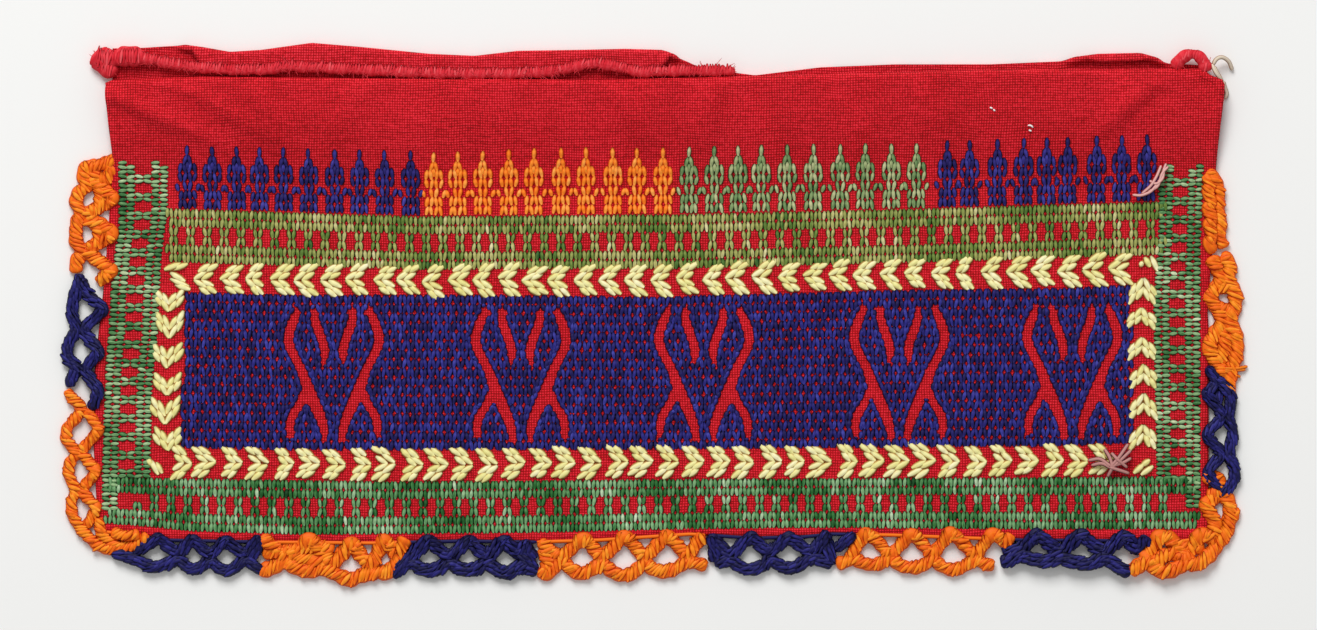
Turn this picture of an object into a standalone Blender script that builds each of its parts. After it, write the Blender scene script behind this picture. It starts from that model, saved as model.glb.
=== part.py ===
"""Embroidered panel: a red cloth with a turned top hem, a facing behind it and a needle-lace edging.

Metres, +Z up. The panel lies face up on z = 0, with its long side along X and its hem towards +Y.
The origin is on the surface it lies on, below the middle of its outline.
"""

import math

import bmesh
import bpy
import numpy as np

MM = 0.001

# Sheets and the gaps between them, in millimetres
SHEET = 1.0
GAP = 0.3
LAYER = SHEET + GAP
TURN_RADIUS = LAYER / 2
TURN_STEPS = 6

# Ground cloth, in millimetres
HEM_DEPTH = 6.5
BAND_FLAT = 7.0
SLOPE_END = 24.0
GROUND_COLUMNS = 56

# Facing strip, in millimetres
FACING_DEPTH = 14.5
FACING_COLUMNS = 52
TURN_LENGTH = math.pi * TURN_RADIUS
SHORT_LIP = 0.4

# Raw edge, in millimetres
BEAD_RADIUS = 0.8

# Lace, in millimetres
LACE_THICK = 1.6
FOOT = 2.6
OUTER_VALLEY = 0.60
INNER_VALLEY = 0.26
HOLE_CENTRE = 0.56

# Corners of the ground cloth, in millimetres
LEFT_CORNER = (-109.8, -43.4)
RIGHT_CORNER = (111.0, -44.6)
DIAGONAL = math.sqrt(0.5)

# Colours of the yarns and cloths
RED = (0.50, 0.012, 0.022, 1.0)
RAW_RED = (0.60, 0.06, 0.10, 1.0)
ORANGE = (0.91, 0.25, 0.008, 1.0)
BLUE = (0.018, 0.015, 0.22, 1.0)

# Turned top edge of the ground cloth: x, y
TOP_FOLD = (
    (-109.0, 46.4),
    (-107.4, 47.0),
    (-90.4, 47.6),
    (-50.0, 47.2),
    (-10.4, 47.0),
    (15.6, 47.6),
    (30.0, 48.0),
    (70.0, 49.0),
    (110.4, 49.2),
)

# Bottom edge of the ground cloth: x, y
BOTTOM_EDGE = (
    (-110.0, -43.0),
    (-106.4, -43.6),
    (-97.4, -44.8),
    (-78.0, -45.2),
    (-56.0, -45.4),
    (-38.0, -45.0),
    (-24.0, -45.2),
    (-10.4, -44.8),
    (7.6, -43.6),
    (20.0, -44.4),
    (30.0, -44.2),
    (36.0, -43.6),
    (48.0, -43.8),
    (74.0, -44.8),
    (106.0, -45.0),
    (111.0, -44.2),
)

# Left edge of the ground cloth: y, x
LEFT_EDGE = (
    (-43.0, -109.8),
    (-37.0, -110.8),
    (-29.0, -111.2),
    (-21.0, -111.6),
    (-9.0, -111.0),
    (3.0, -109.6),
    (12.0, -108.8),
    (20.0, -108.2),
    (31.0, -107.4),
    (38.0, -108.2),
    (46.4, -109.0),
)

# Right edge of the ground cloth: y, x
RIGHT_EDGE = (
    (-44.4, 111.0),
    (-3.0, 111.0),
    (1.0, 110.8),
    (14.0, 111.8),
    (29.0, 112.4),
    (33.0, 112.7),
    (38.0, 113.2),
    (43.0, 113.8),
    (46.0, 114.0),
    (47.0, 113.4),
    (47.6, 111.0),
    (49.2, 110.4),
)

# Soft wrinkles in the plain band: x at the hem, slant in x per mm down, half width, height
WRINKLES = (
    (-103.0, 0.9, 3.0, 0.5),
    (-80.0, 0.3, 3.2, 0.4),
    (-58.0, -0.2, 4.0, 0.3),
    (-36.0, 0.2, 3.4, 0.3),
    (-5.0, 0.3, 4.0, 0.5),
    (14.0, -0.2, 4.0, 0.4),
    (96.0, -0.3, 4.0, 0.4),
)
WRINKLE_REACH = 11.0

# Facing strip: x, y of its top edge, angle in degrees by which that edge is turned forward
FACING_TOP = (
    (-107.8, 53.8, 0.0),
    (-103.4, 53.8, 0.0),
    (-95.4, 54.3, 0.0),
    (-90.0, 53.6, 180.0),
    (-84.4, 52.6, 180.0),
    (-78.0, 53.0, 180.0),
    (-68.0, 54.4, 180.0),
    (-58.4, 53.6, 180.0),
    (-44.4, 52.2, 180.0),
    (-35.4, 51.8, 180.0),
    (-26.8, 52.8, 180.0),
    (-14.4, 53.0, 180.0),
    (-5.4, 53.2, 180.0),
    (2.0, 53.0, 180.0),
    (6.0, 51.6, 0.0),
    (10.0, 49.8, 0.0),
    (20.6, 48.4, 0.0),
    (33.6, 50.0, 0.0),
    (48.6, 50.6, 0.0),
    (67.6, 50.6, 0.0),
    (81.6, 51.2, 0.0),
    (89.0, 52.2, 180.0),
    (97.6, 52.4, 180.0),
    (103.0, 50.8, 0.0),
    (110.2, 50.4, 0.0),
)

# Raw overcast edge: x, y, height of its middle
RAW_EDGE = (
    (-111.4, 52.6, 0.9),
    (-109.6, 51.2, 1.3),
    (-107.6, 51.8, 2.1),
    (-104.4, 52.2, 2.1),
    (-100.4, 51.2, 2.1),
    (-94.4, 49.8, 2.1),
    (-86.4, 49.0, 2.1),
    (-78.4, 48.8, 2.1),
    (-72.4, 49.6, 2.1),
    (-64.4, 49.2, 2.1),
    (-56.4, 48.8, 2.1),
    (-46.4, 48.3, 2.1),
    (-36.4, 48.1, 2.1),
    (-26.4, 48.1, 2.1),
    (-18.4, 48.8, 2.1),
    (-14.4, 49.8, 2.1),
    (-11.0, 50.2, 2.1),
    (-7.4, 49.6, 2.1),
    (-2.4, 48.4, 2.1),
    (5.6, 48.7, 2.1),
    (12.0, 48.7, 2.1),
    (16.6, 48.7, 2.1),
)

# Standing loop at the top right corner: x, y, height of its middle
LOOP = (
    (104.8, 50.2, 2.1),
    (105.4, 51.2, 2.3),
    (106.8, 52.0, 2.6),
    (108.2, 52.2, 2.7),
    (109.4, 51.6, 2.6),
    (110.2, 50.4, 2.2),
)
LOOP_RADIUS = 0.8

# Needle lace, a table for each run of one colour. Ends: side, place along it, depth.
# Loops: side, place along it, depth, width and height of the hole (0 where it is crushed shut).
LACE_RUNS = {
    "lace_left_orange": (
        ORANGE,
        ("left", 30.8, 6.6),
        (
            ("left", 23.6, 8.2, 3.0, 3.2),
            ("left", 16.0, 8.4, 3.0, 3.2),
            ("left", 9.2, 6.6, 0.0, 0.0),
        ),
        ("left", 6.4, 4.0),
    ),
    "lace_left_blue": (
        BLUE,
        ("left", 5.9, 5.0),
        (
            ("left", 1.4, 7.2, 3.0, 3.0),
            ("left", -7.0, 7.2, 3.8, 3.4),
            ("left", -14.8, 6.6, 3.2, 2.8),
        ),
        ("left", -18.4, 3.6),
    ),
    "lace_left_corner": (
        ORANGE,
        ("left", -18.9, 4.0),
        (
            ("left", -23.4, 6.8, 3.2, 3.2),
            ("left", -31.0, 6.2, 3.0, 3.2),
            ("left", -38.4, 6.2, 2.8, 3.0),
            ("left_corner", 0.0, 4.4, 0.0, 0.0),
        ),
        ("bottom", -105.6, 3.6),
    ),
    "lace_bottom_blue_1": (
        BLUE,
        ("bottom", -105.1, 3.6),
        (
            ("bottom", -98.8, 6.2, 3.0, 2.6),
            ("bottom", -91.6, 6.6, 3.0, 3.0),
            ("bottom", -84.8, 6.8, 3.0, 3.0),
        ),
        ("bottom", -78.6, 5.6),
    ),
    "lace_bottom_orange_1": (
        ORANGE,
        ("bottom", -78.1, 6.0),
        (
            ("bottom", -68.6, 7.4, 0.0, 0.0),
            ("bottom", -60.4, 8.8, 3.2, 3.4),
            ("bottom", -52.8, 7.8, 2.4, 2.8),
        ),
        ("bottom", -49.4, 5.6),
    ),
    "lace_bottom_blue_2": (
        BLUE,
        ("bottom", -48.9, 5.6),
        (
            ("bottom", -44.6, 6.8, 2.8, 2.8),
            ("bottom", -36.8, 6.8, 3.0, 3.0),
            ("bottom", -29.0, 7.0, 3.0, 3.0),
        ),
        ("bottom", -23.2, 6.4),
    ),
    "lace_bottom_orange_2": (
        ORANGE,
        ("bottom", -22.7, 6.4),
        (
            ("bottom", -14.6, 7.6, 3.2, 3.2),
            ("bottom", -5.4, 8.4, 3.6, 3.4),
            ("bottom", 2.2, 7.8, 2.8, 3.2),
        ),
        ("bottom", 10.6, 6.4),
    ),
    "lace_bottom_blue_3": (
        BLUE,
        ("bottom", 11.1, 5.8),
        (
            ("bottom", 19.6, 7.0, 3.0, 3.0),
            ("bottom", 27.6, 7.0, 3.0, 3.0),
            ("bottom", 34.8, 6.0, 2.0, 2.4),
        ),
        ("bottom", 38.6, 3.6),
    ),
    "lace_bottom_orange_3": (
        ORANGE,
        ("bottom", 39.1, 4.6),
        (
            ("bottom", 44.4, 6.8, 3.2, 3.2),
            ("bottom", 52.4, 7.2, 3.0, 3.0),
            ("bottom", 60.8, 7.2, 3.2, 3.0),
        ),
        ("bottom", 69.0, 5.4),
    ),
    "lace_bottom_blue_4": (
        BLUE,
        ("bottom", 69.5, 5.0),
        (
            ("bottom", 77.6, 5.4, 0.0, 0.0),
            ("bottom", 86.6, 5.8, 3.0, 2.6),
        ),
        ("bottom", 94.6, 6.4),
    ),
    "lace_right_corner": (
        ORANGE,
        ("bottom", 95.1, 6.0),
        (
            ("bottom", 101.6, 7.0, 3.0, 2.8),
            ("right_corner", 0.0, 5.6, 0.0, 0.0),
            ("right", -39.2, 5.6, 2.4, 2.6),
        ),
        ("right", -35.4, 3.4),
    ),
    "lace_right_blue": (
        BLUE,
        ("right", -34.9, 3.0),
        (
            ("right", -31.6, 6.0, 2.4, 2.8),
            ("right", -24.0, 5.4, 2.6, 2.8),
        ),
        ("right", -16.6, 5.0),
    ),
    "lace_right_orange": (
        ORANGE,
        ("right", -16.1, 4.8),
        (
            ("right", -6.2, 7.0, 3.0, 3.0),
            ("right", 2.8, 7.0, 3.0, 3.4),
            ("right", 11.0, 5.2, 0.0, 0.0),
        ),
        ("right", 12.6, 3.6),
    ),
    "lace_right_crushed": (
        ORANGE,
        ("right", 13.1, 2.6),
        (
            ("right", 17.2, 3.4, 0.0, 0.0),
            ("right", 22.4, 3.0, 0.0, 0.0),
            ("right", 26.8, 2.8, 0.0, 0.0),
        ),
        ("right", 29.2, 2.2),
    ),
}


def read(table, place, column=1):
    """Straight-line reading of a table's column at a place given in its first column."""
    return float(np.interp(place, [row[0] for row in table], [row[column] for row in table]))


def smooth_step(value):
    """Eases from 0 to 1 as the value goes from 0 to 1."""
    value = min(1.0, max(0.0, value))
    return value * value * (3 - 2 * value)


def cloth_material(name, colour, roughness=0.9):
    """A plain dyed cloth or yarn."""
    material = bpy.data.materials.new(name)
    material.use_nodes = True
    shader = material.node_tree.nodes["Principled BSDF"]
    shader.inputs["Base Color"].default_value = colour
    shader.inputs["Roughness"].default_value = roughness
    shader.inputs["Metallic"].default_value = 0.0
    return material


def link(name, data, material, collection):
    """Puts a mesh or curve in the panel's collection under its own name."""
    thing = bpy.data.objects.new(name, data)
    data.materials.append(material)
    collection.objects.link(thing)
    return thing


def sheet(name, columns, rows, place, material, collection):
    """An open grid bent by place(column share, row number), with its thickness added on both sides."""
    mesh = bpy.data.meshes.new(name)
    grid = bmesh.new()
    bmesh.ops.create_grid(grid, x_segments=columns, y_segments=rows, size=0.5)
    for vertex in grid.verts:
        row = round((vertex.co.y + 0.5) * rows)
        vertex.co = place(vertex.co.x + 0.5, row)
    grid.to_mesh(mesh)
    grid.free()
    thing = link(name, mesh, material, collection)
    thickness = thing.modifiers.new("thickness", "SOLIDIFY")
    thickness.thickness = SHEET * MM
    thickness.offset = 0.0
    thickness.use_even_offset = True
    return thing


def ground_stations():
    """The hem and band in section: distance down from the fold, height of the sheet's middle."""
    back = SHEET / 2 + LAYER
    front = back + LAYER
    centre = TURN_RADIUS + SHEET / 2
    stations = [(down, back) for down in np.linspace(HEM_DEPTH, centre + 1.0, 3)]
    for step in range(TURN_STEPS + 1):
        angle = math.pi * (step / TURN_STEPS - 0.5)
        down = centre - TURN_RADIUS * math.cos(angle)
        stations.append((down, (back + front) / 2 + TURN_RADIUS * math.sin(angle)))
    stations += [(down, front) for down in np.linspace(centre + 1.5, BAND_FLAT, 3)]
    for down in np.linspace(BAND_FLAT, SLOPE_END, 7)[1:]:
        share = smooth_step((down - BAND_FLAT) / (SLOPE_END - BAND_FLAT))
        stations.append((down, front + (SHEET / 2 - front) * share))
    return stations


def wrinkle_height(x, down):
    """Soft ridges of the plain band that fade out below it and before the fold."""
    fade = smooth_step(down / 4.0) * (1.0 - smooth_step((down - 5.0) / (WRINKLE_REACH - 5.0)))
    total = 0.0
    for start, slant, half_width, height in WRINKLES:
        total += height * math.exp(-(((x - start - slant * down) / half_width) ** 2))
    return total * fade


def ground_cloth(collection):
    """The front cloth: a hem folded back under the top, the band over it, then flat to the lace."""
    stations = ground_stations()
    lower_rows = 9
    turned = 3 + TURN_STEPS

    def place(across, row):
        left, right = LEFT_EDGE[-1][1], RIGHT_EDGE[-1][1]
        for _ in range(4):
            x = left + (right - left) * across
            top = read(TOP_FOLD, x)
            if row < len(stations):
                down, height = stations[row]
            else:
                share = (row - len(stations) + 1) / lower_rows
                down = SLOPE_END + (top - read(BOTTOM_EDGE, x) - SLOPE_END) * share
                height = SHEET / 2
            y = top - down
            left, right = read(LEFT_EDGE, y), read(RIGHT_EDGE, y)
        if row > turned:
            height += wrinkle_height(x, down)
        return (x * MM, y * MM, height * MM)

    rows = len(stations) + lower_rows - 1
    material = cloth_material("red ground cloth", RED)
    return sheet("ground_cloth", GROUND_COLUMNS, rows, place, material, collection)


def raw_edge_y(x):
    """Y of the raw edge's middle line at x."""
    return read(RAW_EDGE, x)


def turned_section(angle, lip):
    """The facing's top in section, from the flat part outwards: list of (out, height).

    The sheet bends through the angle over a fixed length, then runs straight for the lip's depth.
    """
    steps = [TURN_LENGTH * step / TURN_STEPS for step in range(TURN_STEPS + 1)]
    bend = max(angle, 0.01) / TURN_LENGTH
    points = [(math.sin(bend * s) / bend, (1 - math.cos(bend * s)) / bend) for s in steps]
    out, height = points[-1]
    points.append((out + lip * math.cos(angle), height + lip * math.sin(angle)))
    furthest = max(point[0] for point in points)
    return [(out - furthest, height) for out, height in points]


def facing_cloth(collection):
    """The strip behind the band, with its top edge turned forward where it is loose."""
    flat_rows = 3
    left, right = FACING_TOP[0][0], FACING_TOP[-1][0]

    def place(across, row):
        x = left + (right - left) * across
        top = read(FACING_TOP, x)
        angle = math.radians(read(FACING_TOP, x, 2))
        room = top - raw_edge_y(x) - BEAD_RADIUS - GAP - TURN_RADIUS - SHEET / 2
        lip = max(SHORT_LIP, room) if x < RAW_EDGE[-1][0] else SHORT_LIP
        lip = SHORT_LIP + (lip - SHORT_LIP) * smooth_step(math.degrees(angle) / 60 - 2)
        section = turned_section(angle, lip)
        if row >= flat_rows:
            out, height = section[row - flat_rows]
            y = top - SHEET / 2 + out
        else:
            low = read(TOP_FOLD, x) - FACING_DEPTH
            high = top - SHEET / 2 + section[0][0]
            y = low + (high - low) * row / flat_rows
            height = 0.0
        return (x * MM, y * MM, (SHEET / 2 + height) * MM)

    rows = flat_rows + TURN_STEPS + 1
    material = cloth_material("red facing cloth", RED)
    return sheet("facing_cloth", FACING_COLUMNS, rows, place, material, collection)


def tube(name, points, radius, material, collection):
    """A round bead along a line of (x, y, height) rows, made smooth between them, with filled caps."""
    steps = np.arange(len(points))
    fine = np.linspace(0, len(points) - 1, 2 * len(points) - 1)
    rows = [np.interp(fine, steps, [point[axis] for point in points]) for axis in range(3)]
    curve = bpy.data.curves.new(name, "CURVE")
    curve.dimensions = "3D"
    curve.bevel_depth = radius * MM
    curve.bevel_resolution = 2
    curve.use_fill_caps = True
    line = curve.splines.new("POLY")
    line.points.add(len(fine) - 1)
    for point, x, y, z in zip(line.points, *rows):
        point.co = (x * MM, y * MM, z * MM, 1.0)
    return link(name, curve, material, collection)


def lace_place(side, along, depth):
    """X and Y of a point at a depth outside the cloth's edge, on one of its sides or corners."""
    if side == "left":
        return (read(LEFT_EDGE, along) - depth, along)
    if side == "right":
        return (read(RIGHT_EDGE, along) + depth, along)
    if side == "bottom":
        return (along, read(BOTTOM_EDGE, along) - depth)
    if side == "left_corner":
        x, y = LEFT_CORNER
        return (x + (along - depth) * DIAGONAL, y - (along + depth) * DIAGONAL)
    x, y = RIGHT_CORNER
    return (x + (along + depth) * DIAGONAL, y + (along - depth) * DIAGONAL)


def middle(first, second):
    """The point halfway between two points."""
    return ((first[0] + second[0]) / 2, (first[1] + second[1]) / 2)


def direction(side):
    """+1 where the run goes up its side's own scale, -1 on the left side, which is followed downwards."""
    return -1 if side == "left" else 1


def lace_outline(start, loops, end):
    """Outer line of scallops, then back along the feet on the cloth's edge with a notch between them."""
    outer = [lace_place(*start)]
    for number, (side, along, depth, wide, _) in enumerate(loops):
        way = direction(side)
        shoulder = 0.62 * FOOT
        if number:
            before = loops[number - 1]
            valley = OUTER_VALLEY if wide or before[3] else 0.85
            first = lace_place(before[0], before[1], before[2] * valley)
            outer.append(middle(first, lace_place(side, along, depth * valley)))
        outer.append(lace_place(side, along - way * shoulder, depth - 0.9))
        outer.append(lace_place(side, along, depth))
        outer.append(lace_place(side, along + way * shoulder, depth - 0.9))
    outer.append(lace_place(*end))
    inner = [lace_place(end[0], end[1], GAP)]
    for number in range(len(loops) - 1, -1, -1):
        side, along, depth, _, _ = loops[number]
        way = direction(side)
        if number < len(loops) - 1:
            after = loops[number + 1]
            notch = INNER_VALLEY * min(depth, after[2])
            first = lace_place(after[0], after[1], notch)
            inner.append(middle(first, lace_place(side, along, notch)))
        inner.append(lace_place(side, along + way * FOOT / 2, GAP))
        inner.append(lace_place(side, along - way * FOOT / 2, GAP))
    inner.append(lace_place(start[0], start[1], GAP))
    return outer + inner


def lace_hole(side, along, depth, wide, high):
    """A soft diamond in a loop, with its corners cut: eight points round its middle."""
    centre = depth * HOLE_CENTRE
    points = []
    for step in range(8):
        angle = 2 * math.pi * step / 8
        reach = 0.5 if step % 2 == 0 else 0.4
        points.append(
            lace_place(side, along + wide * reach * math.cos(angle), centre + high * reach * math.sin(angle))
        )
    return points


def lace_run(name, colour, start, loops, end, collection):
    """One run of lace in one colour, as a flat outline with its holes."""
    curve = bpy.data.curves.new(name, "CURVE")
    curve.dimensions = "2D"
    curve.fill_mode = "BOTH"
    curve.extrude = LACE_THICK / 2 * MM
    holes = [lace_hole(*loop) for loop in loops if loop[3]]
    for points in [lace_outline(start, loops, end)] + holes:
        line = curve.splines.new("POLY")
        line.points.add(len(points) - 1)
        line.use_cyclic_u = True
        for point, (x, y) in zip(line.points, points):
            point.co = (x * MM, y * MM, 0.0, 1.0)
    thing = link(name, curve, cloth_material(name + " yarn", colour), collection)
    thing.location.z = LACE_THICK / 2 * MM
    return thing


for leftover in list(bpy.data.objects):
    bpy.data.objects.remove(leftover, do_unlink=True)

panel = bpy.data.collections.new("embroidered panel")
bpy.context.scene.collection.children.link(panel)

ground_cloth(panel)
facing_cloth(panel)
tube("whipped_edge", RAW_EDGE, BEAD_RADIUS, cloth_material("raw red edge", RAW_RED), panel)
tube("turned_loop", LOOP, LOOP_RADIUS, cloth_material("red loop", RED), panel)
for run_name, (run_colour, run_start, run_loops, run_end) in LACE_RUNS.items():
    lace_run(run_name, run_colour, run_start, run_loops, run_end, panel)
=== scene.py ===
"""Looks of the embroidered panel: red cotton, darned and satin-stitched, with a needle-lace edging.

Lengths are in millimetres on the panel and become metres where a mesh is made. X runs along the hem,
Y up to it and Z out of the cloth. The panel lies face up on z = 0.
"""

import bpy
import numpy as np
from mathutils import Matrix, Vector


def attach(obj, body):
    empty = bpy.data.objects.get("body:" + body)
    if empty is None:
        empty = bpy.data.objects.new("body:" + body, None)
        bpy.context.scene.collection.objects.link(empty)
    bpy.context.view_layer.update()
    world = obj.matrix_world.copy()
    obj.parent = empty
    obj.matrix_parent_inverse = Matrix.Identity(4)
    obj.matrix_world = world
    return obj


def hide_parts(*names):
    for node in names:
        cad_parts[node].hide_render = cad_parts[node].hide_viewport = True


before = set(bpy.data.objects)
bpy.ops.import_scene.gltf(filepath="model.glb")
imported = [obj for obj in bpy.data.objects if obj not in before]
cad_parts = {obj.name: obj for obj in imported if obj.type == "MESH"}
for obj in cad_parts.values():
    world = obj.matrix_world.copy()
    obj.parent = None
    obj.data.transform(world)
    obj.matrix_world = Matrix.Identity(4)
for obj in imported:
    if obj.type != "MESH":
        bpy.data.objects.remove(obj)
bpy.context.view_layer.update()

# Ground cloth: one piece of plain-woven red cotton, lying flat on the table below its embroidery.
# Its top is turned back as a hem, which lifts the plain band, and its three raw sides are rolled
# into a soft rim under the lace.
MM = 0.001
# Thickness of the cloth and the gap between two layers of it
SHEET = 1.0
GAP = 0.3
LAYER = SHEET + GAP
TURN_RADIUS = LAYER / 2
HEM_DEPTH = 6.5
# Distances down from the fold at which the raised band ends and at which the cloth lies on the table
BAND_FLAT = 7.0
SLOPE_END = 24.0
THREAD = 0.51
RIM_WIDTH = 1.9
RIM_HEIGHT = 0.4
# The grid: its cells, smaller ones within a reach of the rim, rows of the hem's return and of the half
# round, and the distances from the half round to the next rows of the front and of the return
CELL = 0.8
RIM_CELL = 0.32
RIM_REACH = 2.6
RETURN_ROWS = 5
TURN_ROWS = 8
FRONT_CLEAR = 0.5
RETURN_CLEAR = 0.6
# Length and width by which the front is parted into cells, and where its width starts
FRONT_LENGTH = 92.0
CLOTH_WIDTH = 222.0
CLOTH_LEFT = -109.0

# Outline: x, y along the fold and the bottom edge, and y, x up the two sides
FOLD = np.array([
    (-109, 46.4), (-107.4, 47), (-90.4, 47.6), (-50, 47.2), (-10.4, 47), (15.6, 47.6),
    (30, 48), (70, 49), (110.4, 49.2)])
BOTTOM = np.array([
    (-110, -43), (-106.4, -43.6), (-97.4, -44.8), (-78, -45.2), (-56, -45.4), (-38, -45),
    (-24, -45.2), (-10.4, -44.8), (7.6, -43.6), (20, -44.4), (30, -44.2), (36, -43.6),
    (48, -43.8), (74, -44.8), (106, -45), (111, -44.2)])
LEFT = np.array([
    (-43, -109.8), (-37, -110.8), (-29, -111.2), (-21, -111.6), (-9, -111), (3, -109.6),
    (12, -108.8), (20, -108.2), (31, -107.4), (38, -108.2), (46.4, -109)])
RIGHT = np.array([
    (-44.4, 111), (-3, 111), (1, 110.8), (14, 111.8), (29, 112.4), (33, 112.7),
    (38, 113.2), (43, 113.8), (46, 114), (47, 113.4), (47.6, 111), (49.2, 110.4)])
# Wrinkles of the plain band: x at the hem, slant in x per mm down, half width, height
WRINKLES = (
    (-114, 2, 3.2, 1.4), (-97, 1.7, 2.8, 1), (-80, 0.4, 2.4, 1.2), (-58, -0.4, 3, 0.7),
    (-38, 0.2, 2.6, 0.8), (-8, 0.5, 2.4, 1.3), (-1, 0.1, 2.4, 0.8), (12, -0.1, 2.6, 1),
    (52, 0.3, 2.8, 0.5), (96, -0.3, 2.8, 0.9), (104, -1.2, 2.4, 0.9))
# Distances down from the fold at which wrinkles are full, begin to fade and are gone
WRINKLE_FULL = 4.0
WRINKLE_FADE = 5.0
WRINKLE_REACH = 17.0


def along(table, place):
    """Straight-line reading of a table's second column at places given in its first."""
    return np.interp(place, table[:, 0], table[:, 1])


def eased(share):
    """3s^2 - 2s^3 of a share s kept between 0 and 1."""
    share = np.clip(share, 0.0, 1.0)
    return share * share * (3 - 2 * share)


def inside(x, y):
    """How far a point lies inside the cloth's nearest side or bottom edge, negative outside."""
    return np.minimum(np.minimum(x - along(LEFT, y), along(RIGHT, y) - x), y - along(BOTTOM, x))


def front_middle(x, down):
    """Height of the sheet's middle, for places below the fold.

    Two layers up over the hem, an eased slope down to the table, and on the plain band a sum of
    bell-shaped wrinkles height * exp(-((x - start - slant * down) / half width)^2) that fade out.
    """
    lift = 2 * LAYER * (1 - eased((down - BAND_FLAT) / (SLOPE_END - BAND_FLAT)))
    fade = 1 - eased((down - WRINKLE_FADE) / (WRINKLE_REACH - WRINKLE_FADE))
    folds = sum(
        high * np.exp(-(((x - start - slant * down) / half) ** 2)) for start, slant, half, high in WRINKLES)
    return SHEET / 2 + lift + folds * (eased(down / WRINKLE_FULL) * fade)


def rim(depth):
    """Height added by the rolled rim: half a sine wave over the rim's width."""
    return RIM_HEIGHT * np.sin(np.pi * np.clip(depth / RIM_WIDTH, 0.0, 1.0))


def ground_top(x, y):
    """Height of the cloth's upper face at a place on it, and of the table's level outside it."""
    depth = inside(x, y)
    height = front_middle(x, along(FOLD, x) - y) + SHEET / 2 + rim(depth)
    return np.where(depth > 0, height, 0.0)


def spaced(length, fine_ends):
    """Places from 0 to a length, in cells, with small cells where an end has a rolled rim."""
    low = RIM_REACH if fine_ends[0] else 0.0
    high = RIM_REACH if fine_ends[1] else 0.0
    count = round((length - low - high) / CELL)
    places = [np.linspace(low, length - high, count + 1)]
    if low:
        places.insert(0, np.arange(0.0, low - RIM_CELL / 2, RIM_CELL))
    if high:
        places.append(length - np.arange(0.0, high - RIM_CELL / 2, RIM_CELL)[::-1])
    return np.concatenate(places)


def grid_faces(rows, columns, closed=False):
    """Four-sided faces between the points of a grid, joined round its columns if it is closed."""
    here = np.arange(rows * columns).reshape(rows, columns)
    if closed:
        here = np.concatenate([here, here[:, :1]], axis=1)
    return np.stack([here[:-1, :-1], here[:-1, 1:], here[1:, 1:], here[1:, :-1]], axis=-1).reshape(-1, 4)


def placed(name, data):
    """A named object with this data, put into the scene."""
    made = bpy.data.objects.new(name, data)
    bpy.context.scene.collection.objects.link(made)
    return made


def piece(name, shape, material, slot):
    """A named mesh riding on the panel.

    Its shape is points in mm, four-sided faces, triangles, and marks or None. Marks are three numbers
    for each point, its tone, share and side, which a yarn's material reads.
    """
    points, quads, triangles, marks = shape
    corners = np.concatenate([quads.ravel(), triangles.ravel()])
    totals = np.concatenate([np.full(len(quads), 4), np.full(len(triangles), 3)])
    mesh = bpy.data.meshes.new(name)
    mesh.vertices.add(len(points))
    mesh.vertices.foreach_set("co", (points * MM).astype(np.float32).ravel())
    mesh.loops.add(len(corners))
    mesh.loops.foreach_set("vertex_index", corners.astype(np.int32))
    mesh.polygons.add(len(totals))
    mesh.polygons.foreach_set("loop_start", (np.cumsum(totals) - totals).astype(np.int32))
    mesh.update(calc_edges=True)
    mesh.validate()
    mesh.polygons.foreach_set("use_smooth", np.ones(len(mesh.polygons), bool))
    if marks is not None:
        attribute = mesh.attributes.new("yarn", "FLOAT_VECTOR", "POINT")
        attribute.data.foreach_set("vector", marks.astype(np.float32).ravel())
    mesh.materials.append(material)
    made = placed(name, mesh)
    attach(made, "root")
    return made


def sheet(name, x, y, height, quads, material, slot):
    """A cloth's middle surface on a grid, given half its thickness to each side."""
    points = np.stack([x, y, height], axis=-1).reshape(-1, 3)
    made = piece(name, (points, quads, np.zeros((0, 3), int), None), material, slot)
    thickness = made.modifiers.new("thickness", "SOLIDIFY")
    thickness.thickness = SHEET * MM
    thickness.offset = 0.0
    return made


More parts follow.
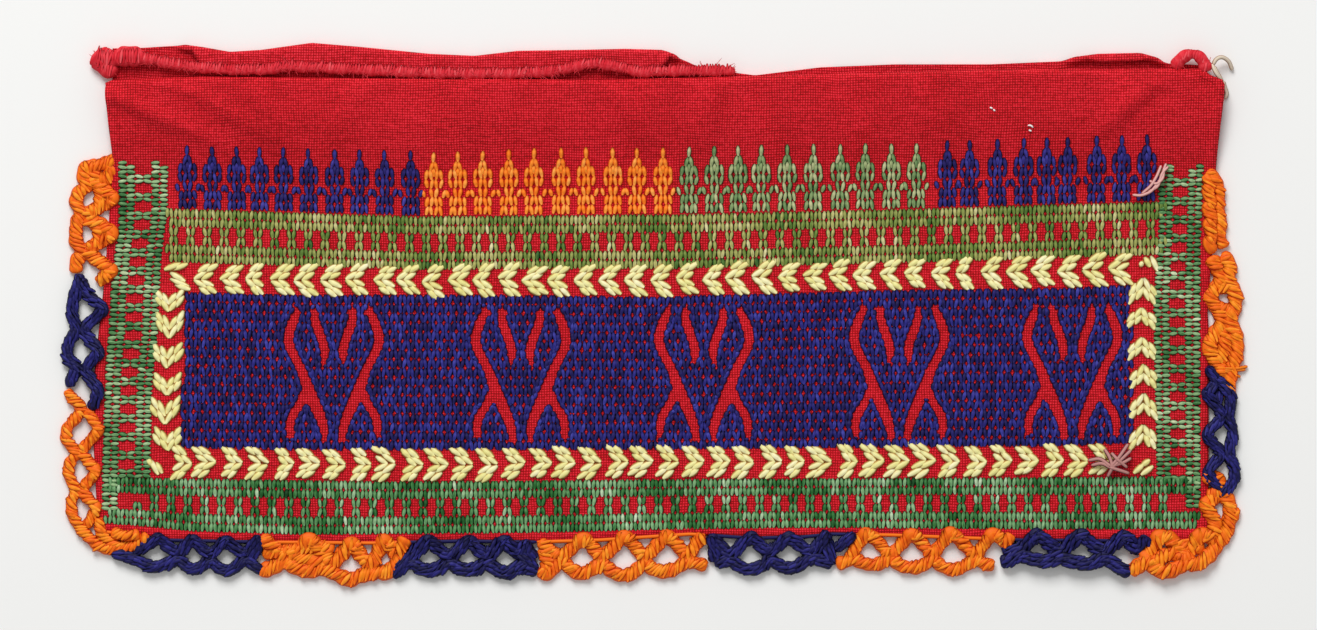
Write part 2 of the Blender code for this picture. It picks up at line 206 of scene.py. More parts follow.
class Wire:
    """An output socket of a shader node: + - * / on it add Math nodes, and node() adds any other."""

    def __init__(self, tree, socket):
        self.tree = tree
        self.socket = socket

    def node(self, kind, settings, values, output=0):
        """Adds a node, makes its settings, then gives its sockets values or links."""
        made = self.tree.nodes.new(kind)
        for name, setting in settings.items():
            if name == "stops":
                ramp = made.color_ramp
                while len(ramp.elements) < len(setting):
                    ramp.elements.new(0.5)
                for stop, (place, shade) in zip(ramp.elements, setting):
                    stop.position = place
                    stop.color = shade
            else:
                setattr(made, name, setting)
        for name, value in values.items():
            if isinstance(value, Wire):
                self.tree.links.new(value.socket, made.inputs[name])
            else:
                made.inputs[name].default_value = value
        return Wire(self.tree, made.outputs[output])

    def math(self, operation, first, second=0.0):
        """One Math node."""
        return self.node("ShaderNodeMath", {"operation": operation}, {0: first, 1: second})

    def __add__(self, other):
        return self.math("ADD", self, other)

    def __sub__(self, other):
        return self.math("SUBTRACT", self, other)

    def __mul__(self, other):
        return self.math("MULTIPLY", self, other)

    def __truediv__(self, other):
        return self.math("DIVIDE", self, other)

    def __rsub__(self, other):
        return self.math("SUBTRACT", other, self)

    __radd__ = __add__
    __rmul__ = __mul__

    def split(self):
        """The three parts of this vector."""
        made = self.node("ShaderNodeSeparateXYZ", {}, {"Vector": self})
        return [Wire(self.tree, part) for part in made.socket.node.outputs]

    def mix(self, first, second):
        """Colour first, changed to colour second by this share."""
        return self.node("ShaderNodeMix", {"data_type": "RGBA"}, {0: self, 6: first, 7: second}, 2)

    def ramp(self, places, shades):
        """The colour that this value picks between shades at their places from 0 to 1."""
        stops = [(place, dyed(shade)) for place, shade in zip(places, shades)]
        return self.node("ShaderNodeValToRGB", {"stops": stops}, {"Fac": self})

    def noise(self, vector, scale, detail=2.0):
        """Smooth noise about 0.5 over a vector."""
        return self.node("ShaderNodeTexNoise", {}, {"Vector": vector, "Scale": scale, "Detail": detail})


def dyed(shade):
    """A colour as seen, in steps of 255, turned into the light that a shader counts in."""
    return tuple((np.array(shade) / 255.0) ** 2.2) + (1.0,)


def cloth_finish(name, roughness):
    """A new material with its shader's constant sockets set, and the shader as a starting wire."""
    material = bpy.data.materials.new(name)
    material.use_nodes = True
    shader = material.node_tree.nodes["Principled BSDF"]
    shader.inputs["Roughness"].default_value = roughness
    shader.inputs["Metallic"].default_value = 0.0
    shader.inputs["Specular IOR Level"].default_value = 0.25
    return material, shader, Wire(material.node_tree, shader.outputs[0])


def join_finish(shader, colour, height, strength, depth):
    """Links a colour to a shader, and a height through a bump of a depth in mm to its normal."""
    values = {"Strength": strength, "Distance": depth * MM, "Height": height}
    raised = height.node("ShaderNodeBump", {}, values)
    for wire, socket in ((colour, "Base Color"), (raised, "Normal")):
        wire.tree.links.new(wire.socket, shader.inputs[socket])


def red_cotton(name, dark, middle, light):
    """Plain weave: |sin(pi x / thread) sin(pi y / thread)| is a thread's round back at each crossing.

    Its shade runs from dark to light by that back, which paints a highlight on each thread's back and
    painted shade between the threads, and by flecks, by slubs drawn out along x, and by the slow sway
    that also bends the threads; these last are the cotton's own tone.
    """
    material, shader, start = cloth_finish(name, 0.85)
    place = start.node("ShaderNodeTexCoord", {}, {}, "Object")
    x, y, _ = place.split()
    sway = start.noise(place, 90.0)
    warp, weft = (start.math("SINE", (axis / MM + sway * 1.2) * (np.pi / THREAD)) for axis in (x, y))
    crossing = start.math("ABSOLUTE", warp * weft)
    slubs = start.noise(start.node("ShaderNodeCombineXYZ", {}, {"X": x * 0.12, "Y": y}), 1500.0, 1.0)
    fleck = start.noise(place, 1900.0)
    # The crossing term is painted highlight and painted shade on the weave; flecks, slubs and sway are own
    # tone
    shade = crossing + fleck * 1.3 + slubs * 0.55 + sway * 0.35 - 1.07
    shader.inputs["Base Color"].default_value = dyed(middle)
    join_finish(shader, shade.ramp((0, 0.55, 1), (dark, middle, light)), crossing + fleck * 0.4, 0.7, 0.12)
    return material


def ground_cloth():
    """A sheet on a grid: hem return, half-round fold, then the front down to the bottom edge.

    Rows are given by their distance down from the fold; x and y follow the four edge tables, found
    by a few rounds of putting each into the other. The half round is centred so far below the fold
    that its outer face lies on it.
    """
    centre = TURN_RADIUS + SHEET / 2
    turn = np.pi * (np.linspace(0, 1, TURN_ROWS) - 0.5)
    turn_down = centre - TURN_RADIUS * np.cos(turn)
    turn_height = SHEET / 2 + 1.5 * LAYER + TURN_RADIUS * np.sin(turn)
    front_start = centre + FRONT_CLEAR
    front = FRONT_LENGTH - front_start
    share = spaced(front, (False, True)) / front
    across = spaced(CLOTH_WIDTH, (True, True)) / CLOTH_WIDTH
    hidden = RETURN_ROWS + TURN_ROWS
    rows = hidden + len(share)
    x = np.tile(CLOTH_LEFT + CLOTH_WIDTH * across, (rows, 1))
    for _ in range(5):
        top = along(FOLD, x)
        length = top - along(BOTTOM, x)
        down = np.empty_like(x)
        down[:RETURN_ROWS] = np.linspace(HEM_DEPTH, centre + RETURN_CLEAR, RETURN_ROWS)[:, None]
        down[RETURN_ROWS:hidden] = turn_down[:, None]
        down[hidden:] = front_start + (length[hidden:] - front_start) * share[:, None]
        y = top - down
        left, right = along(LEFT, y), along(RIGHT, y)
        x = left + (right - left) * across
    height = front_middle(x, down) + rim(inside(x, y))
    height[:RETURN_ROWS] = SHEET / 2 + LAYER
    height[RETURN_ROWS:hidden] = turn_height[:, None]
    weave = red_cotton("red cotton weave", (138, 0, 12), (206, 10, 28), (242, 50, 66))
    cloth = sheet(
        "red_ground_cloth", x, y, height, grid_faces(rows, len(across))[:, ::-1], weave, "ground_red")
    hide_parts("ground_cloth")
    return cloth


ground = ground_cloth()

# Darned field: dark blue floss over the middle of the cloth, stitched in brick order so that a speck
# of red shows between each pair. Five branching figures are left as bare cloth.

# A stitch's mesh: points round it, and shares of its length at which its rings lie
ROUND = 6
RING_PLACES = np.array([0.06, 0.34, 0.66, 0.94])
STITCH_WIDTH = 1.03
# Distance between pairs of stitches, how far a pair's starts and ends lie from its middle, and how far
# a stitch runs on into the next rows, in rows
STITCH_PAIR = 1.67
FIELD_ENDS = (0.2, 0.63)
ROW_OVERLAP = 0.07
FIELD_ROWS = 17
FIELD_LIFT = 0.26
FIELD_JITTER = 0.08
# Lines round the field: x, y of its top and bottom, y, x of its sides
FIELD_TOP = np.array([
    (-93, 4.6), (-70, 4), (-30, 4), (-2, 3.6), (28, 4.4), (50, 5), (82, 5.4), (95, 6)])
FIELD_BOTTOM = np.array([
    (-94, -26.6), (-70, -27), (-30, -27), (-2, -26.9), (50, -26.4), (82, -26.2), (95, -25.6)])
FIELD_LEFT = np.array([(-26.8, -94.2), (-20, -93.9), (4.6, -93)])
FIELD_RIGHT = np.array([(-26, 95.8), (6, 95.8)])
FIGURE_CENTRES = ((-63.6, 0), (-26.2, -0.1), (10.4, 0.1), (49.4, 0.3), (84, 0.5))
# Strokes of one figure: x and y from its centre, half width
FIGURE_STROKES = (
    ((-7.4, 0.4, 0.75), (-8.4, -2, 0.95), (-9.2, -4.6, 0.95), (-8.8, -6.4, 0.9), (-7.6, -8.8, 0.85),
     (-6.4, -11, 0.85), (-5.4, -14, 1.1), (-4, -17.4, 1.15), (-2.6, -20.4, 1), (-1.8, -23, 0.85),
     (-1.8, -24, 0.8)),
    ((-5.6, -14.6, 0.9), (-6.6, -17.6, 0.7), (-8.4, -20.2, 0.85), (-8.9, -22.4, 0.8), (-8.8, -23.4, 0.7)),
    ((-3.9, 0.1, 0.7), (-3.8, -1.2, 0.85), (-2.6, -4.2, 0.9), (-1.7, -7, 0.85), (-1.9, -8.6, 0.7)))
STROKE_LEAST = 0.78
# Distances from a figure within which a stitch is moved away from it, and at which it is cut short
FIGURE_MARGIN = 0.44
FIGURE_CUT = -0.05
# Stitches along a figure's outline: their length, and the turns of the line round a stroke's end
OUTLINE_STEP = 1.5
CAP_TURN = np.radians([60, 30, 0, -30, -60])
# Share of its length from which a stitch cut short by a figure is kept
SHORTEST_SHARE = 0.3


def unit(vectors):
    """Vectors, one to a row, divided by their lengths."""
    return vectors / np.maximum(np.linalg.norm(vectors, axis=1, keepdims=True), 1e-9)


def leftward(run):
    """The level direction to the left of each run: x, y turned into -y, x."""
    return np.column_stack([-run[:, 1], run[:, 0]])


def distance_along(points):
    """How far each point lies along the straight lines that join them."""
    return np.concatenate([[0], np.cumsum(np.linalg.norm(np.diff(points, axis=0), axis=1))])


def read_at(places, known, table):
    """Straight-line reading of all columns of a table at places, its rows being at the known ones."""
    return np.column_stack([np.interp(places, known, column) for column in table.T])


def end_fan(tip, first, around, turned):
    """Triangles from an end point to its ring of points, facing the other way where turned."""
    ring = np.arange(around) + first
    pair = [ring, np.roll(ring, -1)]
    return np.stack([np.full(around, tip), *(pair[::-1] if turned else pair)], axis=1)


def spindles(start, end, width, lift, tone, blunt=3.0, flat=0.8):
    """Closed stitches of yarn from start points to end points, each a bulging spindle.

    The middle line is straight with lift * 4t(1 - t) added to its height. Its section is an ellipse
    with half width r = width / 2 * (1 - |2t - 1|^blunt)^0.5 and height flat * r.
    Returns a shape whose marks are the stitch's tone, share t and side (-1 to 1).
    """
    count = len(start)
    t = np.concatenate([[0.0], RING_PLACES, [1.0]])
    middle = start[:, None] + (end - start)[:, None] * t[None, :, None]
    middle[:, :, 2] += lift[:, None] * 4 * t * (1 - t)
    run = unit(end - start)
    side = unit(np.column_stack([leftward(run), np.zeros(count)]))
    up = np.cross(run, side)
    radius = np.sqrt(1 - np.abs(2 * RING_PLACES - 1) ** blunt)[None, :] * width[:, None] / 2
    angle = 2 * np.pi * np.arange(ROUND) / ROUND
    wide = np.cos(angle)[None, None, :, None] * side[:, None, None]
    high = np.sin(angle)[None, None, :, None] * up[:, None, None] * flat
    rings = middle[:, 1:-1, None] + radius[:, :, None, None] * (wide + high)
    points = np.concatenate([middle[:, :1], rings.reshape(count, -1, 3), middle[:, -1:]], axis=1)
    number = points.shape[1]
    quads = grid_faces(len(RING_PLACES), ROUND, closed=True) + 1
    fans = np.concatenate([
        end_fan(0, 1, ROUND, False), end_fan(number - 1, number - 1 - ROUND, ROUND, True)])
    step = (np.arange(count) * number)[:, None, None]
    quads = (quads[None, :, ::-1] + step).reshape(-1, 4)
    triangles = (fans[None, :, ::-1] + step).reshape(-1, 3)
    share = np.concatenate([[0.0], np.repeat(RING_PLACES, ROUND), [1.0]])
    across = np.concatenate([[0.0], np.tile(np.cos(angle), len(RING_PLACES)), [0.0]])
    marks = np.column_stack([np.repeat(tone, number), np.tile(share, count), np.tile(across, count)])
    return points.reshape(-1, 3), quads, triangles, marks


def yarn(name, shades, edge, roughness=0.6, streak=0.5):
    """Stranded yarn: a ramp of shades by each stitch's tone and by fine streaks along it.

    Towards its sides and ends it is painted darker, to the edge shade, as painted shade where strands
    lie in shadow, by 2.4 (side^2 - 0.22) + (2 share - 1)^4 kept between 0 and 1.
    """
    material, shader, start = cloth_finish(name, roughness)
    tone, share, side = start.node("ShaderNodeAttribute", {"attribute_name": "yarn"}, {}, "Vector").split()
    strands = start.node("ShaderNodeCombineXYZ", {}, {"X": tone * 91.0, "Y": share * 0.9, "Z": side * 2.2})
    fibre = start.noise(strands, 1.6, 3.0)
    value = tone * (1 - streak) + fibre * (streak * 1.6) - streak * 0.3
    colour = value.ramp(np.arange(len(shades)) / (len(shades) - 1), shades)
    # Painted shade: the edge shade is mixed in at the sides and ends of each stitch
    ends = start.math("POWER", start.math("ABSOLUTE", share * 2.0 - 1.0), 4.0)
    fall = start.node("ShaderNodeClamp", {}, {"Value": (side * side - 0.22) * 2.4 + ends})
    join_finish(shader, fall.mix(colour, dyed(edge)), fibre, 0.5, 0.06)
    return material


draw = np.random.default_rng(7)


def on_cloth(xy, sink):
    """Points on the cloth's upper face, sunk a little into it."""
    return np.column_stack([xy, ground_top(xy[:, 0], xy[:, 1]) - sink])


def stitched(name, start, end, width, lift, material, slot, blunt=3.0, sink=0.1, flat=0.8, tone=None):
    """One piece of stitches lying on the cloth between two sets of places on it.

    Their widths stray by up to 8 % and their lifts by up to 20 %, and each has a tone of its own.
    """
    a, b = on_cloth(start, sink), on_cloth(end, sink)
    count = len(a)
    width = width * draw.uniform(0.92, 1.08, count)
    lift = lift * draw.uniform(0.8, 1.2, count)
    tone = draw.uniform(0, 1, count) if tone is None else tone
    return piece(name, spindles(a, b, width, lift, tone, blunt, flat), material, slot)


def in_row(places, row):
    """Places along a chart's row, as (place along, row)."""
    return np.column_stack([places, np.full(len(places), row)])


def darned_pairs(first, last, phase, rows_from, rows_to, pair, ends_apart):
    """Brick order: each row has pairs of stitches, and every second row is shifted by half a pair.

    ends_apart gives how far a pair's starts and ends lie from its middle. Returns both as (place
    along, row).
    """
    close, wide = ends_apart
    starts, ends = [], []
    for row in range(rows_from, rows_to):
        shift = phase + pair / 2 * (row % 2)
        centre = np.arange(first + (shift - first) % pair, last, pair)
        for side in (-1, 1):
            starts.append(in_row(centre + side * close, row - ROW_OVERLAP))
            ends.append(in_row(centre + side * wide, row + 1 + ROW_OVERLAP))
    return np.concatenate(starts), np.concatenate(ends)


def distance_to_stroke(points, stroke):
    """Distance from points to a line of joined segments, less its half width there."""
    nearest = np.full(points.shape[:-1], 1e9)
    for a, b in zip(stroke[:-1], stroke[1:]):
        a, b = np.array(a), np.array(b)
        run = b[:2] - a[:2]
        share = np.clip(((points - a[:2]) @ run) / (run @ run), 0, 1)
        gap = np.linalg.norm(points - a[:2] - share[..., None] * run, axis=-1)
        nearest = np.minimum(nearest, gap - np.maximum(a[2] + (b[2] - a[2]) * share, STROKE_LEAST))
    return nearest


def figure_gap(points):
    """Distance from points to the nearest of the bare figures, negative inside one."""
    gap = np.full(points.shape[:-1], 1e9)
    for x, y in FIGURE_CENTRES:
        for mirror in (1, -1):
            local = (points - np.array([x, y])) * np.array([mirror, 1])
            for stroke in FIGURE_STROKES:
                gap = np.minimum(gap, distance_to_stroke(local, stroke))
    return gap


def pushed_clear(points):
    """Points near a figure moved straight away from it, so that stitches lie along its outline."""
    nudge = 0.02
    gap = figure_gap(points)
    slope = [figure_gap(points + step) - gap for step in ((nudge, 0.0), (0.0, nudge))]
    return points + np.stack(slope, axis=-1) / nudge * np.maximum(FIGURE_MARGIN - gap, 0)[:, None]


def clear_of_figures(start, end):
    """Each stitch shortened to its longer part outside the bare figures, and whether enough is left."""
    last_place = 12
    run = end - start
    path = start[:, None] + run[:, None] * np.linspace(0, 1, last_place + 1)[None, :, None]
    blocked = figure_gap(path) < FIGURE_CUT
    hit = blocked.any(axis=1)
    first = blocked.argmax(axis=1)
    last = last_place - blocked[:, ::-1].argmax(axis=1)
    from_start = first >= last_place - last
    low = np.where(hit & ~from_start, (last + 1) / last_place, 0.0)
    high = np.where(hit & from_start, (first - 1) / last_place, 1.0)
    start, end = start + run * low[:, None], start + run * high[:, None]
    return pushed_clear(start), pushed_clear(end), high - low > SHORTEST_SHARE


def outline_stitches():
    """Stitches end to end round every stroke of the figures, a stitch's half width clear of it."""
    starts, ends = [], []
    for stroke in FIGURE_STROKES:
        path = np.array(stroke)
        clear = np.maximum(path[:, 2:], STROKE_LEAST) + FIGURE_MARGIN
        run = unit(np.gradient(path[:, :2], axis=0))
        left = leftward(run)
        middle, aside = path[:, :2], left * clear
        caps = [clear[end] * (np.outer(np.cos(CAP_TURN), run[end]) + np.outer(np.sin(CAP_TURN), left[end]))
                for end in (0, -1)]
        loop = np.concatenate([
            middle + aside, middle[-1] + caps[1], (middle - aside)[::-1], middle[0] - caps[0],
            middle[:1] + aside[:1]])
        reach = distance_along(loop)
        places = np.linspace(0, reach[-1], round(reach[-1] / OUTLINE_STEP) + 1)
        line = read_at(places, reach, loop)
        for centre in FIGURE_CENTRES:
            for mirror in (1, -1):
                laid = line * np.array([mirror, 1]) + np.array(centre)
                starts.append(laid[:-1])
                ends.append(laid[1:])
    start, end = np.concatenate(starts), np.concatenate(ends)
    kept = figure_gap((start + end) / 2) > FIGURE_MARGIN * 0.5
    reach = (end - start)[kept] * ROW_OVERLAP
    return start[kept] - reach, end[kept] + reach


def field_places(chart):
    """Chart places (x, row) onto the cloth: y runs between the field's bowed top and bottom lines."""
    top, bottom = along(FIELD_TOP, chart[:, 0]), along(FIELD_BOTTOM, chart[:, 0])
    return np.column_stack([chart[:, 0], top + (bottom - top) * chart[:, 1] / FIELD_ROWS])


def blue_field():
    """The blue darning, in two pieces that meet at the middle figure."""
    # The last colour is the edge shade: painted shade between the stitches
    material = yarn(
        "dark blue floss", ((17, 9, 52), (27, 21, 86), (44, 42, 130), (80, 82, 184)), (5, 1, 20))
    start, end = darned_pairs(-96.0, 97.0, 0.2, 0, FIELD_ROWS, STITCH_PAIR, FIELD_ENDS)
    jitter = draw.normal(0, FIELD_JITTER, (2, len(start), 2))
    start, end = field_places(start) + jitter[0], field_places(end) + jitter[1]
    x, y = (start + end).T / 2
    kept = (x > along(FIELD_LEFT, y)) & (x < along(FIELD_RIGHT, y))
    start, end, enough = clear_of_figures(start[kept], end[kept])
    outline = outline_stitches()
    start, end = np.concatenate([start[enough], outline[0]]), np.concatenate([end[enough], outline[1]])
    west = start[:, 0] < 0.0
    return [
        stitched(name, start[chosen], end[chosen], STITCH_WIDTH, FIELD_LIFT, material, "lace_blue")
        for name, chosen in (("blue_darning_left", west), ("blue_darning_right", ~west))]


blue_darning = blue_field()

# Green borders: two rows of darning, a row of bare pointed ovals parted by crossed stitches, and two
# rows more, in green floss that changes shade along its length. They frame all four sides.

# Outer and inner line of each border: x, y at the top and bottom, y, x at the sides
TOP_BAND_OUTER = np.array([
    (-97, 21.4), (-94.4, 21.2), (-46.4, 19.7), (5.6, 20.1), (55.6, 21.3), (100.6, 22.6), (104, 22.7)])
TOP_BAND_INNER = np.array([
    (-97, 10.6), (-94.4, 10.5), (-46.4, 9.1), (5.6, 9.3), (55.6, 10.6), (100.6, 12), (104, 12.1)])
BOTTOM_BAND_OUTER = np.array([
    (-110, -41.6), (-100.4, -42.3), (-92.4, -43.2), (-70.4, -43.9), (-30.4, -43.6), (9.6, -42.8),
    (29.6, -42.5), (69.6, -42.8), (89.6, -42.8), (110, -42.7)])
BOTTOM_BAND_INNER = np.array([
    (-110, -32.2), (-99.4, -32.6), (-50.4, -33.3), (5.6, -32.8), (69.6, -32.5), (110, -32.2)])
LEFT_BAND_OUTER = np.array([
    (-40, -110), (-31, -109.9), (-21, -109.6), (-11, -109.2), (-3, -108.6), (5, -108.2),
    (14, -107.2), (17, -106.6), (31, -106.6)])
LEFT_BAND_INNER = np.array([
    (-40, -100.4), (-29, -100.2), (-13, -99.8), (-3, -98.6), (9, -98.2), (13, -97.8),
    (21, -96.8), (31, -96.6)])
RIGHT_BAND_OUTER = np.array([(-42, 109.6), (13, 109.6), (29, 110.2), (32, 110.2)])
RIGHT_BAND_INNER = np.array([
    (-42, 100.6), (-31, 100.8), (-11, 100.4), (3, 100.2), (17, 101.2), (32, 101.2)])
BAND_ROWS = 6
BAND_ENDS = (0.3, 0.55)
BAND_LIFT = 0.24
BAND_JITTER = 0.05
# Half width of a crossing at its ends and near its middle, and how far its stitches pass that, in rows
CROSS_WIDE = 0.62
CROSS_CLOSE = 0.3
CROSS_OVERLAP = 0.04
# How many mm along a border its floss takes to pass through its shades
SHADE_RUN = 26.0


def band_stitches(first, last, oval, pitch):
    """Stitches of one border on a chart of (place along, row 0 to 6).

    Rows 0, 1, 4 and 5 are darned pairs. Rows 2 and 3 are two pairs at each crossing halfway between
    ovals, wide, close, close, wide, so that they cross like an X.
    """
    starts, ends = [], []
    for low, high in ((0, 2), (4, 6)):
        phase = oval + (pitch / 4 if low == 0 else -pitch / 4)
        a, b = darned_pairs(first, last, phase, low, high, pitch / 2, BAND_ENDS)
        starts.append(a)
        ends.append(b)
    cross = np.arange(first + (oval + pitch / 2 - first) % pitch, last, pitch)
    for side in (-1, 1):
        for row, middle in ((2 - ROW_OVERLAP, 3 + CROSS_OVERLAP), (4 + ROW_OVERLAP, 3 - CROSS_OVERLAP)):
            starts.append(in_row(cross + side * CROSS_WIDE, row))
            ends.append(in_row(cross + side * CROSS_CLOSE, middle))
    return np.concatenate(starts), np.concatenate(ends)


def green_border(name, span, oval, pitch, outer, inner, upright, material, bare):
    """One border laid between its outer and inner lines, along x, or along y where it is upright.

    bare lists boxes of the cloth that it leaves open: middle x, middle y, half width, half height. The
    floss's tone is a sine wave along the border, with a random share for each stitch.
    """
    places = []
    for chart in band_stitches(span[0], span[1], oval, pitch):
        far, near = along(outer, chart[:, 0]), along(inner, chart[:, 0])
        across = far + (near - far) * chart[:, 1] / BAND_ROWS
        laid = [across, chart[:, 0]] if upright else [chart[:, 0], across]
        places.append(np.column_stack(laid) + draw.normal(0, BAND_JITTER, chart.shape))
    start, end = places
    for x, y, half_width, half_height in bare:
        away = np.abs((start + end) / 2 - np.array([x, y])) > np.array([half_width, half_height])
        start, end = start[away.any(axis=1)], end[away.any(axis=1)]
    wave = np.sin(start.sum(axis=1) * 2 * np.pi / SHADE_RUN)
    tone = 0.5 + 0.26 * wave + draw.normal(0, 0.24, len(start))
    return stitched(name, start, end, STITCH_WIDTH, BAND_LIFT, material, None, tone=tone)


# Each yarn's last colour is its edge shade: painted shade at the stitches' sides and ends
leaf_green = yarn(
    "yellow green floss", ((34, 88, 40), (102, 130, 54), (176, 173, 100), (228, 218, 168)), (20, 32, 10))
grass_green = yarn(
    "green floss", ((8, 62, 24), (46, 112, 52), (122, 170, 116), (206, 224, 190)), (4, 26, 8))
sea_green = yarn(
    "blue green floss", ((18, 78, 36), (72, 128, 72), (146, 182, 128), (220, 228, 186)), (8, 32, 12))
green_border(
    "green_border_top", (-96.6, 102.4), -87.2, 3.366, TOP_BAND_OUTER, TOP_BAND_INNER, False, leaf_green, ())
green_border(
    "green_border_bottom", (-109.2, 109.4), -97.8, 3.36, BOTTOM_BAND_OUTER, BOTTOM_BAND_INNER, False,
    grass_green,
    ((-107.2, -37.2, 3.4, 1.7), (-101, -37.2, 0.8, 1.7), (-102.8, -36.4, 1, 0.8), (106.4, -37.2, 3.6, 1.6)))
green_border(
    "green_border_left", (-40.8, 30.6), -0.4, 3.68, LEFT_BAND_OUTER, LEFT_BAND_INNER, True, sea_green,
    ((-103.2, -38, 3.8, 5), (-107, -40, 4, 1)))
green_border(
    "green_border_right", (-40.8, 29.6), -1.4, 3.72, RIGHT_BAND_OUTER, RIGHT_BAND_INNER, True, sea_green,
    ((102.8, -38, 3.8, 5), (107, -40, 4, 1)))

# Teeth: stepped points darned upwards from the top border, blue, then orange, green and blue again,
# each a tip, a pair, two rows of four, a waist and two rows of four.
TOOTH_HEIGHT = 12.7
# Stitches of a tooth's right half, but for those on its middle line: x from that line and y below the
# tip, at both ends
HALF_TOOTH = np.array([
    (0.16, 1.9, 0.64, 3.7), (1.24, 3.5, 1.6, 5.4), (0.76, 3.5, 0.4, 5.4), (1.68, 5.4, 1.28, 7.1),
    (0.28, 5.3, 0.56, 7.1), (0.7, 7.1, 0.38, 8.9), (2.32, 7.6, 1.84, 9), (1.16, 8.9, 1.52, 10.7),
    (0.26, 8.9, 0.58, 10.7), (1.2, 10.7, 1.52, 12.5), (0.68, 10.7, 0.36, 12.5)])
TOOTH_MIDDLE = ((0, 0, 0, 1.9), (0, 3.1, 0, 4.8))
TOOTH_LIFT = 0.3
TOOTH_JITTER = 0.06


def teeth(name, tips, material, slot):
    """A group of teeth of one colour from their tips (x, y), each as tall as reaches the border."""
    tips = np.array(tips)
    mirrored = HALF_TOOTH * np.array([-1, 1, -1, 1])
    shape = np.concatenate([TOOTH_MIDDLE, HALF_TOOTH, mirrored]).reshape(-1, 2, 2)
    fall = (tips[:, 1] - along(TOP_BAND_OUTER, tips[:, 0])) / TOOTH_HEIGHT
    x = tips[:, 0, None, None] + shape[..., 0]
    y = tips[:, 1, None, None] - shape[..., 1] * fall[:, None, None]
    laid = np.stack([x, y], axis=-1).reshape(-1, 2, 2)
    reach = (laid[:, 1:] - laid[:, :1]) * ROW_OVERLAP * np.array([[-1], [1]])
    laid = laid + reach + draw.normal(0, TOOTH_JITTER, laid.shape)
    return stitched(name, laid[:, 0], laid[:, 1], STITCH_WIDTH, TOOTH_LIFT, material, slot)


# Each yarn's last colour is its edge shade: painted shade at the stitches' sides and ends
tooth_blue = yarn(
    "bright blue floss", ((24, 15, 62), (36, 28, 94), (54, 48, 134), (84, 82, 180)), (8, 3, 24))
tooth_orange = yarn(
    "light orange floss", ((246, 104, 14), (253, 132, 32), (255, 154, 58), (255, 184, 100)), (216, 70, 2))
tooth_green = yarn(
    "pale green floss", ((60, 100, 56), (116, 146, 92), (172, 180, 128), (220, 208, 166)), (26, 52, 26))
teeth("teeth_blue_left", [
    (-92.8, 33.8), (-87.8, 33.7), (-83, 33.6), (-78.4, 33.5), (-73.6, 33.4), (-68.6, 33.2), (-63.4, 33.1),
    (-58.4, 33), (-53.4, 32.9), (-48.2, 32.8)], tooth_blue, "lace_blue")
teeth("teeth_orange", [
    (-43.6, 32.5), (-38.8, 32.6), (-33.8, 32.8), (-28.6, 33), (-23.6, 33.2), (-18.2, 33.3), (-13.2, 33.4),
    (-7.8, 33.4), (-3, 33.4), (2.2, 33.4)], tooth_orange, "lace_orange")
teeth("teeth_green", [
    (7.4, 33.6), (12.4, 33.7), (17.2, 33.8), (21.8, 33.9), (27, 34), (32.2, 34), (37.6, 34.1), (42.6, 34.2),
    (47.8, 34.2), (52.8, 34.2)], tooth_green, None)
teeth("teeth_blue_right", [
    (59, 34.8), (63.4, 34.9), (69, 35.1), (74.2, 35.3), (78.8, 35.4), (83, 35.6), (88.8, 35.8),
    (93.8, 35.9), (98.8, 36)], tooth_blue, "lace_blue")

# Cream arrowheads: thick cream floss in satin stitch, eight stitches to an arrowhead, chasing one
# another round the blue field with red cloth between them.
CREAM_TOP = np.array([(-92, 7.2), (-50, 7), (-2, 6.9), (28, 7.7), (50, 8.1), (94, 9.1)])
CREAM_BOTTOM = np.array([(-94, -29.4), (-50, -29.9), (0, -29.4), (50, -29.2), (96, -29)])
# Stitches of one arrowhead that points to -x, its tip at the origin: start and end
ARROW_STITCHES = np.array([
    ((1, 1.6), (3.1, 3.2)), ((2.2, 1.6), (4.4, 3.2)), ((0, 0.1), (2.3, 1.7)), ((1.4, 0.1), (3.5, 1.5)),
    ((0, -0.1), (2.4, -1.6)), ((1.4, -0.1), (3.7, -1.4)), ((1, -1.5), (3, -3.1)),
    ((2.2, -1.4), (4.3, -2.9))])
# Share of its length that each stitch is drawn out at both ends
ARROW_OVERLAP = 0.1
ARROW_PITCH_TOP = 5.07
ARROW_PITCH_BOTTOM = 5.12
# How far an arrowhead's tip, its size (as a share) and the ends of its stitches stray
TIP_STRAY = 0.16
SIZE_STRAY = 0.07
END_STRAY = 0.12
CREAM_WIDTH = 1.44
CREAM_LIFT = 0.42
# The panel's x and y for one step along and one across an arrowhead that points this way
TURNED = {
    "left": ((1, 0), (0, 1)), "right": ((-1, 0), (0, 1)),
    "down": ((0, 1), (1, 0)), "up": ((0, -1), (-1, 0))}


def arrowheads(tips, way, size):
    """Stitches of arrowheads at their tips, turned to point the given way and sized along and across."""
    turn = np.array(TURNED[way])
    reach = (ARROW_STITCHES[:, 1:] - ARROW_STITCHES[:, :1]) * ARROW_OVERLAP * np.array([[-1], [1]])
    local = (ARROW_STITCHES + reach) * np.array(size)
    local = local[..., :1] * turn[0] + local[..., 1:] * turn[1]
    tips = np.array(tips) + draw.normal(0, TIP_STRAY, (len(tips), 2))
    swell = 1 + draw.normal(0, SIZE_STRAY, (len(tips), 1, 1, 2))
    laid = tips[:, None, None] + local[None] * swell
    return laid.reshape(-1, 2, 2)


